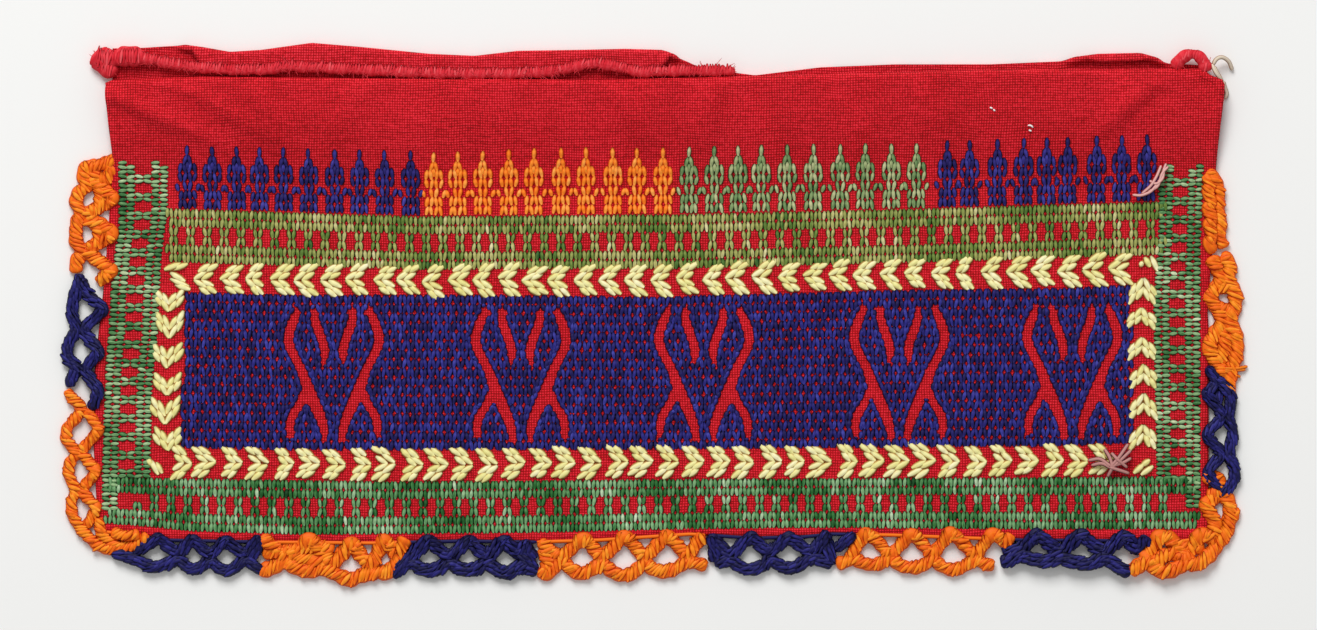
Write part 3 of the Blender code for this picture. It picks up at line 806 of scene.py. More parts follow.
def cream_arrowheads():
    """All four sides of arrowheads as one piece, with the odd stitches that fill the corners."""
    top_x = np.arange(-91.4, 92.5, ARROW_PITCH_TOP)
    bottom_x = np.arange(-92.2, 94.5, ARROW_PITCH_BOTTOM)
    rows = [
        arrowheads(np.column_stack([top_x, along(CREAM_TOP, top_x)]), "left", (1, 1)),
        arrowheads(np.column_stack([bottom_x, along(CREAM_BOTTOM, bottom_x)]), "right", (1, 1)),
        arrowheads(
            [(-96.5 + 0.03 * y, y) for y in (0.8, -4.4, -10.2, -16, -21.6, -26.8)], "down", (1.1, 0.88)),
        arrowheads([(98.1, y) for y in (7.2, 1.2, -4.6, -10.2, -15.8, -22.2)], "up", (1.1, 0.82)),
        np.array([
            ((-97.8, 9), (-94, 10.6)), ((-96, 8.8), (-92.4, 10.2)), ((-96.6, 8.6), (-93, 6.8)),
            ((-96.4, 7.4), (-92.4, 5.6)), ((-95.6, 6.2), (-92, 5)), ((97.2, 10.4), (98.2, 10)),
            ((-100.2, -28.8), (-98.6, -31.9)), ((-99.2, -29.4), (-97.7, -31.6)),
            ((-101, -28.2), (-99.6, -30.4)),
            ((98.2, 11.6), (99.6, 9.4)), ((99.6, 12), (101.4, 8.4)),
            ((96.2, -31.8), (98.6, -29.6)), ((97.6, -32.2), (100.2, -30)), ((98, -30.2), (99.8, -29))])]
    laid = np.concatenate(rows)
    laid = laid + draw.normal(0, END_STRAY, laid.shape)
    # The last colour is the edge shade: painted shade between the stitches
    cream = yarn(
        "cream floss", ((216, 204, 112), (236, 228, 146), (246, 240, 178), (255, 248, 222)), (176, 132, 70),
        streak=0.6)
    return stitched(
        "cream_arrowheads", laid[:, 0], laid[:, 1], CREAM_WIDTH, CREAM_LIFT, cream, None,
        blunt=2.6, sink=0.12, flat=0.7)


cream_arrowheads()

# Needle lace: a run of each colour round three sides, worked as scallops. An outer bar swings from
# joint to joint, an inner one zigzags between the joints and the cloth's edge, and a cord of the
# same thread binds the edge. Each bar is a core covered with slanted stitches.

# Meshes of a bar and of the cord: points round it, steps along it, and the length over which its
# corners are rounded
LACE_AROUND = 10
LACE_STEP = 0.3
LACE_ROUNDING = 1.3
CORD_AROUND = 8
CORD_STEP = 0.4
CORD_ROUNDING = 1.2
# The cord: half width, distance between its places on the edge, how far outside the bottom edge and
# under the side edges it runs, and its middle's height at each
CORD_HALF = 0.42
CORD_PLACES = 0.6
CORD_OUTSIDE = 0.15
CORD_UNDER = 0.3
CORD_HEIGHT_BOTTOM = 1.0
CORD_HEIGHT_SIDE = 0.6
# Half height of a bar, its half width for each colour, and the share of it that thinner runs have
BAR_HIGH = 0.78
BAR_HALF = {"orange": 1.68, "blue": 1.45}
THIN_RUNS = {
    "left_orange": 0.94, "left_blue": 0.84, "left_corner": 0.76, "bottom_blue_1": 0.84,
    "bottom_blue_3": 0.9, "bottom_orange_2": 0.92, "bottom_orange_3": 0.88, "right_crushed": 0.82,
    "right_blue": 0.78}
# Stitches over a bar: distance from one to the next, width, run along the bar, lift, and how far each
# end strays along the bar
WRAP_STEP = {"orange": 0.74, "blue": 0.9}
WRAP_WIDTH = {"orange": 1.08, "blue": 0.9}
WRAP_SLANT = {"orange": 1.9, "blue": 2.6}
WRAP_LIFT = {"orange": 0.42, "blue": 0.24}
WRAP_STRAY = 0.16
# How far each stitch strays along the bar, and its ends across it, as a share of the half width
ROW_STRAY = 0.12
SHARE_STRAY = 0.1
# Tones of a bar's core, low on the ramp as painted shade where it shows between the stitches, and of the
# cord
CORE_TONE = 0.2
CORD_TONE = 0.3
# Rows of stitches over a bar: share of its half width at the start and the end, and how deep each lies
WRAP_ROWS = {
    "orange": ((-0.84, 0.84, 0.6, 0.6),),
    "blue": ((-0.9, -0.3, 0.5, 0.2), (-0.3, 0.35, 0.12, 0.12), (0.3, 0.9, 0.2, 0.5))}
# Height of a bar's middle on the table, and its rise over the cloth's rim, from outside it inwards
LACE_LOW = 0.76
LACE_RISE = 0.95
RISE_OUTSIDE = 1.4
RISE_LENGTH = 1.9
# Curl of the outer bars towards the lower right corner: from this x on, and below this y
CURL_HEIGHT = 1.0
CURL_START = 62.0
CURL_LENGTH = 14.0
CURL_TOP = -46.0
CURL_WIDTH = 3.0

# Each run: its colour, the stretches of edge that its cord binds, and the places that its bars pass
LACE_RUNS = {
    "left_orange": ("orange", (("left", 30, 6.6),), (
        ((-106.8, 31), (-110.4, 30), (-113.4, 29.4), (-113.9, 27.8), (-112.6, 26), (-114.6, 24.6),
         (-115.2, 22.6), (-114, 20.2), (-115.1, 18.2), (-115.2, 14.8), (-113.8, 12.6), (-115.2, 10.4),
         (-115, 8.4)),
        ((-112.6, 27.4), (-107.4, 23.4), (-113.4, 20), (-107.4, 16.4), (-113.4, 12.6), (-107.8, 9),
         (-110.8, 6.4)),
        ((-111.8, 29.4), (-110.4, 25.4), (-110, 22), (-112.8, 19.8)),
        ((-107.4, 29.8), (-108.6, 27.6), (-110.6, 26)),
        ((-113.2, 19.6), (-110.4, 17.4), (-110.2, 15), (-113, 12.8)))),
    "left_blue": ("blue", (("left", 6.4, -18.6),), (
        ((-114.4, 8.2), (-114.6, 5.2), (-115.8, 2.6), (-116, 0.4), (-114.8, -3), (-116.8, -5.6),
         (-117, -8.4), (-114.4, -10.8), (-116.4, -12.8), (-116.2, -14.4)),
        ((-114, 7.4), (-113.6, 4.6), (-109.2, 1.2), (-114.2, -3), (-110, -7.4), (-113.6, -10.8),
         (-110.2, -15.2), (-112.2, -18.8)))),
    "left_corner": ("orange", (("left", -18.8, -42.6), ("bottom", -109.4, -100.8)), (
        ((-117, -15), (-115.8, -16.8), (-113.6, -18.6), (-115, -20.4), (-117, -22.6), (-117.2, -25),
         (-114.8, -27.6), (-116.6, -29.6), (-116.6, -32.2), (-115, -35.2), (-116.2, -37.4),
         (-115.8, -40.4), (-113.8, -43.2), (-111.2, -45.8), (-108.6, -47), (-105.4, -46.2)),
        ((-113, -18.8), (-110.4, -23), (-114.4, -27.4), (-110.8, -31.2), (-114.4, -35.2),
         (-110.8, -38.4), (-113.2, -42.4)),
        ((-110.6, -40.6), (-110, -44.2), (-106.4, -46.4), (-103, -46.2), (-100.8, -43.8)),
        ((-108, -43.4), (-104.8, -44.2), (-102.4, -43.8)))),
    "bottom_blue_1": ("blue", (("bottom", -108, -78.4),), (
        ((-108, -47.4), (-103.6, -48.6), (-101.4, -50), (-99, -50.6), (-96.4, -49.6), (-94.8, -48.2),
         (-93.2, -50.2), (-91.6, -51.2), (-89.6, -50.2), (-88.4, -48.4), (-86.8, -50.6), (-85, -51.5),
         (-83.2, -50.5), (-81.4, -48.4), (-79.4, -50.4), (-77.7, -51.2)),
        ((-103.6, -47.6), (-100.8, -46), (-98.6, -44.2), (-96.4, -46.6), (-94.8, -48), (-91.8, -44.6),
         (-88.4, -48.2), (-85, -44.8), (-81.4, -48.2), (-79.2, -45.6), (-78, -44.4)),
        ((-80.6, -48.8), (-79, -47), (-78.2, -45.4)))),
    "bottom_orange_1": ("orange", (("bottom", -78, -49.2),), (
        ((-78.6, -51.3), (-75.4, -50.4), (-73.2, -49), (-71.4, -50.6), (-68.4, -51.2), (-65.2, -50.6),
         (-62.8, -52), (-60.4, -53), (-57.8, -52), (-55.2, -51.4), (-52.8, -51.6), (-51, -49.4),
         (-49.8, -47.6)),
        ((-78.2, -44.4), (-75.4, -46.6), (-72.8, -48.6), (-70.4, -46.6), (-68.4, -44.4), (-66, -47.8),
         (-63.6, -49.6), (-61.8, -47.6), (-60, -45.2), (-58, -48.4), (-56.2, -50), (-53.4, -44.8),
         (-51, -48), (-49.2, -44.6)),
        ((-74, -46.4), (-70.4, -48.6), (-66.6, -49.2), (-64.4, -50.4)),
        ((-77.8, -47.6), (-74, -47.2), (-70, -46.6), (-66.4, -46.2), (-63.6, -47)))),
    "bottom_blue_2": ("blue", (("bottom", -49, -23),), (
        ((-52, -52.2), (-50, -50.2), (-48, -49), (-46.4, -50.8), (-44.6, -51.4), (-42.4, -50.6),
         (-40.6, -49), (-38.6, -50.8), (-36.4, -51.2), (-34.4, -50.4), (-33, -49), (-31.2, -51),
         (-29.2, -51.8), (-27.2, -50.8), (-25.6, -49.8), (-22.9, -51.6)),
        ((-51.6, -51.8), (-48.4, -48.6), (-44.6, -44.8), (-40.6, -48.6), (-36.4, -44.8), (-33, -48.8),
         (-29.6, -44.8), (-26.6, -48.2), (-24.4, -45.2)),
        ((-26.8, -46.4), (-25, -48.6), (-23.4, -51)),
        ((-25.4, -46), (-23.4, -48.8)))),
    "bottom_orange_2": ("orange", (("bottom", -23, 10.6),), (
        ((-22.8, -51.2), (-20.8, -51.8), (-19.2, -50.2), (-18, -48.6), (-16.4, -50.8), (-14.2, -51.8),
         (-12, -51), (-10, -49.2), (-8.2, -51.2), (-6, -52.2), (-3.8, -51.6), (-1.4, -49.2), (0, -50.8),
         (2, -51.4), (4.6, -50.8), (7, -49.2), (9, -49.6), (11, -50.2)),
        ((-22.4, -45.2), (-20, -47.4), (-18, -48.4), (-13.6, -44.4), (-10, -48.6), (-5.4, -44),
         (-1.4, -48.6), (3, -43.8), (7.2, -48.4), (10, -43.8)),
        ((-22.2, -46.6), (-20.4, -49.4), (-21.4, -51.4)))),
    "bottom_blue_3": ("blue", (("bottom", 11.4, 40.6),), (
        ((12.4, -49.4), (14.4, -49), (15.8, -48.6), (17.2, -50.4), (20, -51), (22.4, -50.2),
         (23.6, -48.4), (25.4, -50.2), (27.6, -50.8), (29.8, -50), (31.6, -48.2), (33.6, -49),
         (36, -50)),
        ((12.4, -44.4), (15.6, -48.2), (19.8, -44), (23.4, -47.8), (27.2, -44), (31.6, -47.8),
         (35.4, -43.4)),
        ((12, -43.8), (12.4, -46.6), (12.4, -49.4)),
        ((35.2, -44.6), (35.4, -47.4), (36, -50)),
        ((36.4, -46.8), (38.4, -45.6), (40.6, -43.8)))),
    "bottom_orange_3": ("orange", (("bottom", 40.8, 71.8),), (
        ((36.8, -49.8), (39.2, -49.2), (40.2, -48.4), (42, -49.6), (44.2, -50), (46.4, -49.4),
         (47.6, -48.4), (49.8, -50.2), (52.6, -50.6), (54.6, -49.8), (56, -48.4), (58, -50.4),
         (60.2, -51), (62.6, -50.2), (64.6, -48.6), (66.4, -49.8), (68.4, -50)),
        ((39.4, -48.8), (42.6, -43.4), (44.6, -44.6), (47.6, -48.2), (52, -43.4), (56, -48),
         (59.8, -43.2), (64.6, -48.2), (68.2, -43.4), (70.6, -45.6), (71.8, -43.8)))),
    "bottom_blue_4": ("blue", (("bottom", 69.6, 99),), (
        ((69.6, -49.4), (71.6, -49), (73.6, -47.6), (75.2, -48.6), (77.6, -49.2), (80, -49),
         (81.6, -48.2), (83.6, -49.2), (86.6, -49.9), (88.8, -49.4), (90.2, -48.2), (91.8, -49.6),
         (93.8, -50.8), (95.6, -51.6)),
        ((70, -47.4), (72, -46.8), (73.6, -47.2), (76.8, -43.6), (81.6, -47.6), (85.6, -43.6),
         (90.2, -47.8), (94.4, -43.8), (97.2, -47.2), (99, -44.2)))),
    "right_corner": ("orange", (("bottom", 99, 110.4), ("right", -43.8, -33)), (
        ((95.4, -51.4), (97.6, -49.8), (99, -48.6), (100.8, -51), (102.6, -51.4), (104.8, -50.6),
         (106.8, -49.6), (109.2, -49.8), (111.2, -48.2), (112.8, -46.2), (114, -44.6), (115.2, -42.6),
         (115.6, -39.4), (115.4, -37.2), (114, -35.8)),
        ((98.2, -49), (101.4, -44), (103.6, -44.6), (106.6, -49), (109.4, -43.6), (113, -45),
         (112.6, -41.8), (110.6, -37.8), (113.4, -35.8)),
        ((110, -32.2), (113.2, -32.6), (113.8, -35), (111.2, -36.4)),
        ((103.4, -45.6), (106.6, -46.4), (110.4, -46.4)),
        ((100.4, -49.8), (102.4, -47.9), (105.4, -47.6)),
        ((116.4, -39.8), (117.4, -39.9)))),
    "right_blue": ("blue", (("right", -32.6, -12.4),), (
        ((113.2, -36.2), (115, -35), (116.7, -32.4), (116.5, -30.4), (114.9, -28), (115.8, -25.6),
         (116.2, -23.2), (114.9, -20.2), (116, -17.6), (115.2, -14.6), (112.6, -12.6)),
        ((113.8, -35.4), (110.6, -31.2), (114.4, -28), (110.4, -24), (114.4, -20), (110.4, -15.6),
         (113.2, -13.6), (111, -10.4)),
        ((112.6, -18.2), (113.6, -15.2)))),
    "right_orange": ("orange", (("right", -12, 12.4),), (
        ((115.4, -16.4), (115.2, -13.8), (115.6, -11.4), (116.6, -8.6), (117, -6), (116.4, -3),
         (115.2, -1), (116.5, 1.4), (116.7, 3.6), (115.9, 5.8), (114.9, 7.4), (115.6, 9.4), (115.2, 11),
         (113.6, 11.6)),
        ((114.8, -12.4), (112.8, -9.6), (111, -6.2), (112.8, -3.2), (114.4, -1), (111.4, 3.6),
         (114, 7.4), (111.6, 11.6)),
        ((113.4, -9.6), (114.6, -6), (114, -2.6)),
        ((112.8, 6), (114.6, 5.5), (116, 5.9)),
        ((113, 1.2), (114.8, 1), (116.2, 1.2)))),
    "right_crushed": ("orange", (("right", 12.8, 29.2),), (
        ((111, 28.8), (112.6, 27.2), (113.4, 24.6), (113.2, 21.6), (113.8, 18.6), (113.4, 15.8),
         (114.4, 13.4)),
        ((110.4, 28), (111.8, 26.2), (110.8, 24.4), (112, 22.6), (110.8, 21), (112.2, 19.4), (111, 17.8),
         (112.2, 16), (111, 14.2), (112.4, 12.6))))}


def rounded_path(points, step, rounding):
    """Equal steps along straight lines between points, then a running mean to round the corners."""
    points = np.array(points, float)
    reach = distance_along(points)
    path = read_at(np.linspace(0, reach[-1], max(6, round(reach[-1] / step))), reach, points)
    half = max(1, round(rounding / 2 / step))
    before = path[:1] * 2 - path[half:0:-1]
    after = path[-1:] * 2 - path[-2:-half - 2:-1]
    padded = np.concatenate([before, path, after])
    kernel = np.ones(2 * half + 1) / (2 * half + 1)
    return np.column_stack([np.convolve(column, kernel, "valid") for column in padded.T])


def swept(path, half_width, half_height, around):
    """A closed bar along a path: ellipses with their wide axis level, pulled in to a point at both ends.

    Returns points, faces, triangles and each point's side, the cosine of its angle round the bar.
    """
    count = len(path)
    run = unit(np.gradient(path, axis=0))
    side = unit(np.column_stack([leftward(run), np.zeros(count)]))
    up = np.cross(run, side)
    angle = 2 * np.pi * np.arange(around) / around
    wide = half_width[:, None, None] * np.cos(angle)[None, :, None] * side[:, None]
    high = half_height[:, None, None] * np.sin(angle)[None, :, None] * up[:, None]
    rings = (path[:, None] + wide + high).reshape(-1, 3)
    points = np.concatenate([rings, path[:1] - run[:1] * 0.05, path[-1:] + run[-1:] * 0.05])
    tip = count * around
    fans = np.concatenate([end_fan(tip, 0, around, True), end_fan(tip + 1, tip - around, around, False)])
    side_mark = np.concatenate([np.tile(np.cos(angle), count), [0.0, 0.0]])
    return points, grid_faces(count, around, closed=True), fans, side_mark


def marked(bar, tone, edge=1.0, share=0.5):
    """A swept bar as a shape: marks of tone, share and side times edge, which scales its painted edge
    shade.
    """
    *shape, side = bar
    number = len(side)
    marks = [np.broadcast_to(tone, number), np.broadcast_to(share, number), side * edge]
    return *shape, np.column_stack(marks)


def end_taper(count, length):
    """Quarter-round pull-in over some rings at both ends of a bar, 1 between them."""
    place = np.minimum(np.arange(count), np.arange(count)[::-1]) + 0.6
    share = np.clip(place / length, 0, 1)
    return np.sqrt(1 - (1 - share) ** 2)


def lace_height(path):
    """Height of a bar's middle: on the table outside the cloth, eased up over the cloth's rim.

    Towards the lower right corner the lace's outer bars curl up off the table.
    """
    over = eased((inside(path[:, 0], path[:, 1]) + RISE_OUTSIDE) / RISE_LENGTH)
    curl = CURL_HEIGHT * eased((path[:, 0] - CURL_START) / CURL_LENGTH)
    curl = curl * eased((CURL_TOP - path[:, 1]) / CURL_WIDTH)
    return LACE_LOW + LACE_RISE * over + curl


def gather(shapes):
    """Several shapes as one."""
    points, quads, triangles, marks = zip(*shapes)
    starts = np.cumsum([0] + [len(lot) for lot in points[:-1]])
    quads, triangles = (
        np.concatenate([lot + start for lot, start in zip(faces, starts)]) for faces in (quads, triangles))
    return np.concatenate(points), quads, triangles, np.concatenate(marks)


def lace_bar(points, half, colour):
    """Shapes of one knobbly bar: its core, and rows of slanted stitches, loosely and unevenly laid.

    Two sine waves along the core make its half width uneven.
    """
    slant, gap = WRAP_SLANT[colour], WRAP_STEP[colour]
    flat = rounded_path(points, LACE_STEP, LACE_ROUNDING)
    path = np.column_stack([flat, lace_height(flat)])
    count = len(path)
    step = np.arange(count)
    knobs = 1 + 0.07 * np.sin(step * 0.9 + flat[0, 0]) + 0.06 * np.sin(step * 0.43 + flat[0, 1])
    taper = end_taper(count, 3.0) * knobs
    core = swept(path, half * 0.9 * taper, BAR_HIGH * 0.85 * taper, LACE_AROUND)
    # The core's low tone is painted shade between the stitches; its side mark is scaled by 0.7, so it has
    # less painted edge shade
    shapes = [marked(core, CORE_TONE, 0.7)]
    length = (count - 1) * LACE_STEP
    rings = step * LACE_STEP
    sideways = leftward(unit(np.gradient(flat, axis=0)))
    for row, (first, last, first_sink, last_sink) in enumerate(WRAP_ROWS[colour]):
        at = np.arange(row * gap / 2 - 0.2, length - slant * 0.7, gap)
        number = len(at)
        if not number:
            continue
        at = at + draw.normal(0, ROW_STRAY, number)
        ends = []
        for places, share, sink in ((at, first, first_sink), (at + slant, last, last_sink)):
            places = np.clip(places + draw.normal(0, WRAP_STRAY, number), 0, length)
            narrow = np.interp(places, rings, taper)
            spread = (share + draw.normal(0, SHARE_STRAY, number)) * half * narrow
            spot = read_at(places, rings, flat) + read_at(places, rings, sideways) * spread[:, None]
            top = np.interp(places, rings, path[:, 2]) + BAR_HIGH * narrow - sink
            ends.append(np.column_stack([spot, top]))
        width = WRAP_WIDTH[colour] * draw.uniform(0.7, 1.25, number)
        lift = WRAP_LIFT[colour] * draw.uniform(0.7, 1.3, number)
        shapes.append(spindles(*ends, width, lift, draw.uniform(0, 1, number), flat=0.9))
    return shapes


def edge_line(side, low, high):
    """Places of the cord that binds one of the cloth's edges, and its middle's height.

    It runs a hair outside the bottom edge, and lower, under the rim, at the sides.
    """
    place = np.linspace(low, high, max(4, round(abs(high - low) / CORD_PLACES)))
    if side == "bottom":
        return np.column_stack([place, along(BOTTOM, place) - CORD_OUTSIDE]), CORD_HEIGHT_BOTTOM
    edge = along(LEFT, place) + CORD_UNDER if side == "left" else along(RIGHT, place) - CORD_UNDER
    return np.column_stack([edge, place]), CORD_HEIGHT_SIDE


def lace_run(name, colour, edges, bars, material):
    """One run of lace: its bars with their stitches, and the cord along the cloth's edge."""
    shapes = []
    for points in bars:
        shapes += lace_bar(points, BAR_HALF[colour] * THIN_RUNS.get(name, 1.0), colour)
    for edge in edges:
        line, height = edge_line(*edge)
        flat = rounded_path(line, CORD_STEP, CORD_ROUNDING)
        half = CORD_HALF * end_taper(len(flat), 3.0)
        path = np.column_stack([flat, np.full(len(flat), height)])
        shapes.append(marked(swept(path, half, half * 1.1, CORD_AROUND), CORD_TONE))
    run = piece("needle_lace_" + name, gather(shapes), material, "lace_" + colour)
    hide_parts("lace_" + name)
    return run


# The last colour of each is its edge shade: painted shade at the sides and ends of the stitches and core
lace_yarns = {
    "orange": yarn(
        "orange lace thread", ((222, 74, 0), (246, 110, 4), (255, 140, 20), (255, 172, 56)), (190, 44, 0),
        streak=0.45),
    "blue": yarn(
        "blue lace thread", ((12, 10, 44), (22, 20, 74), (36, 34, 108), (60, 58, 148)), (4, 3, 20),
        streak=0.45)}
lace = [
    lace_run(name, colour, edges, bars, lace_yarns[colour])
    for name, (colour, edges, bars) in LACE_RUNS.items()]

# Facing: a strip of the same red cotton behind the hem. Its top edge is turned forward over the
# fold where it has come loose, and stands straight up elsewhere.
FACING_DEPTH = 14.5
# Rows of the flat strip, of the bend and of the lip
FLAT_ROWS = 7
BEND_ROWS = 9
LIP_SHARES = (0.33, 0.67, 1.0)
SHORT_LIP = 0.4
# How far the turned lip runs in under the raw edge that it ends in
LIP_TUCK = 0.35
BEAD_RADIUS = 0.8
# x, y of the facing's top edge, angle in degrees by which that edge is turned forward
FACING_TOP = np.array([
    (-107.8, 53.8, 0), (-103.4, 53.8, 0), (-95.4, 54.3, 0), (-90, 53.6, 180), (-84.4, 52.6, 180),
    (-78, 53, 180), (-68, 54.4, 180), (-58.4, 53.6, 180), (-44.4, 52.2, 180), (-35.4, 51.8, 180),
    (-26.8, 52.8, 180), (-14.4, 53, 180), (-5.4, 53.2, 180), (2, 53, 180), (6, 51.6, 0),
    (10, 49.8, 0), (20.6, 48.4, 0), (33.6, 50, 0), (48.6, 50.6, 0), (67.6, 50.6, 0),
    (81.6, 51.2, 0), (89, 52.2, 180), (97.6, 52.4, 180), (103, 50.8, 0), (110.2, 50.4, 0)])
# x, y and height of the raw edge's middle
RAW_EDGE = np.array([
    (-111.2, 52.4, 1.2), (-109.8, 51, 1.4), (-107.6, 51.2, 2), (-104.4, 51.8, 2.1), (-100.4, 51, 2.1),
    (-94.4, 49.8, 2.1), (-86.4, 49, 2.1), (-78.4, 48.8, 2.1), (-72.4, 49.6, 2.1), (-64.4, 49.2, 2.1),
    (-56.4, 48.8, 2.1), (-46.4, 48.3, 2.1), (-36.4, 48.1, 2.1), (-26.4, 48.1, 2.1), (-18.4, 48.8, 2.1),
    (-14.4, 49.8, 2.1), (-11, 50.2, 2.1), (-7.4, 49.6, 2.1), (-2.4, 48.4, 2.1), (5.6, 48.7, 2.1),
    (12, 48.7, 2.1), (16.6, 48.7, 2.1)])


def facing():
    """The strip in section: flat, then bent through its angle over a fixed length, then a straight lip.

    At a place s of the bend, which turns through angle a over its length, out is
    sin(a s / length) * length / a and up is (1 - cos(a s / length)) * length / a. The lip is short up
    to a turn of 120 degrees and reaches the raw edge at 180.
    """
    columns = np.arange(FACING_TOP[0, 0], FACING_TOP[-1, 0] + 0.01, CELL)
    top = along(FACING_TOP, columns)
    angle = np.radians(np.interp(columns, FACING_TOP[:, 0], FACING_TOP[:, 2]))
    room = top - along(RAW_EDGE, columns) - BEAD_RADIUS + LIP_TUCK - TURN_RADIUS - SHEET / 2
    lip = np.where(columns < RAW_EDGE[-1, 0], np.maximum(SHORT_LIP, room), SHORT_LIP)
    lip = SHORT_LIP + (lip - SHORT_LIP) * eased(np.degrees(angle) / 60 - 2)
    turn_length = np.pi * TURN_RADIUS
    bend = np.maximum(angle, 0.01) / turn_length
    steps = turn_length * np.linspace(0, 1, BEND_ROWS)[:, None]
    out, up = np.sin(bend * steps) / bend, (1 - np.cos(bend * steps)) / bend
    edge_out, edge_up = out[-1:], up[-1:]
    for share in LIP_SHARES:
        out = np.concatenate([out, edge_out + lip * share * np.cos(angle)])
        up = np.concatenate([up, edge_up + lip * share * np.sin(angle)])
    out = out - out.max(axis=0)
    foot = along(FOLD, columns) - FACING_DEPTH
    bend_y = top - SHEET / 2 + out
    flat_y = foot + (bend_y[:1] - foot) * np.linspace(0, 1, FLAT_ROWS + 1)[:-1, None]
    y = np.concatenate([flat_y, bend_y])
    height = SHEET / 2 + np.concatenate([np.zeros_like(flat_y), up])
    weave = red_cotton("facing cotton weave", (142, 0, 14), (208, 14, 32), (244, 58, 74))
    strip = sheet(
        "red_facing", np.broadcast_to(columns, y.shape), y, height, grid_faces(len(y), len(columns)), weave,
        "facing_red")
    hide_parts("facing_cloth")
    return strip


facing_strip = facing()

# Raw edge: the facing's frayed edge, whipped over with red thread that has gone pink and hairy, so
# it makes a fat soft bead along the front of the hem.

# The bead's mesh: steps along it, the length over which its corners are rounded, points round it
BEAD_STEP = 0.4
BEAD_ROUNDING = 2.0
BEAD_AROUND = 10
BEAD_HIGHEST = 1.25
# It rolls up fatter towards its left tail: from this x on, by this share, over this length
TAIL_END = -98.0
TAIL_SWELL = 1.1
TAIL_REACH = 8.0
HAIR_LENGTH = 0.8
HAIR_WIDTH = 0.12
# The last colour is the edge shade: painted shade at the sides of the bead and its stitches
frayed_red = yarn(
    "frayed red thread", ((186, 16, 32), (210, 34, 48), (230, 66, 76), (246, 118, 122)), (178, 14, 30),
    roughness=0.9)


def whipped_bead(name, line, radius, spread, node, stitch_step, hairs):
    """A soft bead along a line, short stitches over it that reach up to spread beyond it, and hairs.

    Two sine waves make its half width uneven, and an eased swell thickens it towards the left tail.
    """
    path = rounded_path(line, BEAD_STEP, BEAD_ROUNDING)
    ring = np.arange(len(path))
    swell = 1 + 0.14 * np.sin(ring * 0.37) + 0.1 * np.sin(ring * 0.91)
    tail = 1 + TAIL_SWELL * eased((TAIL_END - path[:, 0]) / TAIL_REACH)
    half = radius * swell * end_taper(len(path), 3.0) * tail
    core = swept(path, half * (1 + spread / 3), np.minimum(half, BEAD_HIGHEST), BEAD_AROUND)
    mottle = 0.4 + 0.3 * np.sin(np.arange(len(core[0])) * 0.19)

    at = np.arange(2, len(path) - 3, stitch_step / BEAD_STEP)
    number = len(at)
    spot = read_at(at, ring, path)
    lean = draw.normal(0.3, 0.3, number)
    size = np.interp(at, ring, half)
    reach = size + spread * draw.uniform(0.4, 1.2, number) * (radius / size) ** 2
    low = spot + np.column_stack([-lean / 2, -0.9 * size, 0.4 * size])
    high = spot + np.column_stack([lean / 2, reach, 0.3 * size])
    stitches = spindles(
        low, high, draw.uniform(0.45, 0.8, number), 0.5 * size, draw.uniform(0.2, 1, number))

    root = read_at(draw.uniform(1, len(path) - 2, hairs), ring, path)
    stray = draw.normal(0, 0.4 * radius, (hairs, 3)) * np.array([1, 1, 0.3])
    root = root + stray + np.array([0, 0, 0.5 * radius])
    tip = root + draw.normal(0, HAIR_LENGTH, (hairs, 3)) * np.array([1, 1, 0.25])
    fluff = spindles(
        root, tip, np.full(hairs, HAIR_WIDTH), np.full(hairs, 0.2), np.full(hairs, 0.7), flat=1.0)
    # The core's side mark is scaled by 0.6, so less painted edge shade reaches round it
    bead = piece(name, gather([marked(core, mottle, 0.6), stitches, fluff]), frayed_red, "raw_edge_red")
    if node:
        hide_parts(node)
    return bead


# Its left end is bent down over the hem's corner
TAIL = np.array([(-111, 51.6, 1.2), (-109.8, 50.2, 1.1), (-108.4, 49, 1.3), (-107, 48.4, 1.9)])
raw_tail = whipped_bead("whipped_raw_tail", TAIL, 0.75, 0.4, None, 0.58, 60)
raw_edge = whipped_bead("whipped_raw_edge", RAW_EDGE, BEAD_RADIUS, 0.7, "whipped_edge", 0.58, 1500)

# Loop: the whipping's last stitches, of the same frayed red thread, pulled up into a fat loop that
# stands over the top right corner.
LOOP = np.array([
    (104.4, 49.2, 2.2), (105.2, 50.8, 2.4), (106.6, 51.9, 2.6), (108.2, 52.2, 2.7), (109.6, 51.4, 2.7),
    (110.4, 49.8, 2.6), (110.8, 48.6, 2.6)])
corner_loop = whipped_bead("corner_loop", LOOP, 1.2, 0.0, "turned_loop", 0.6, 30)
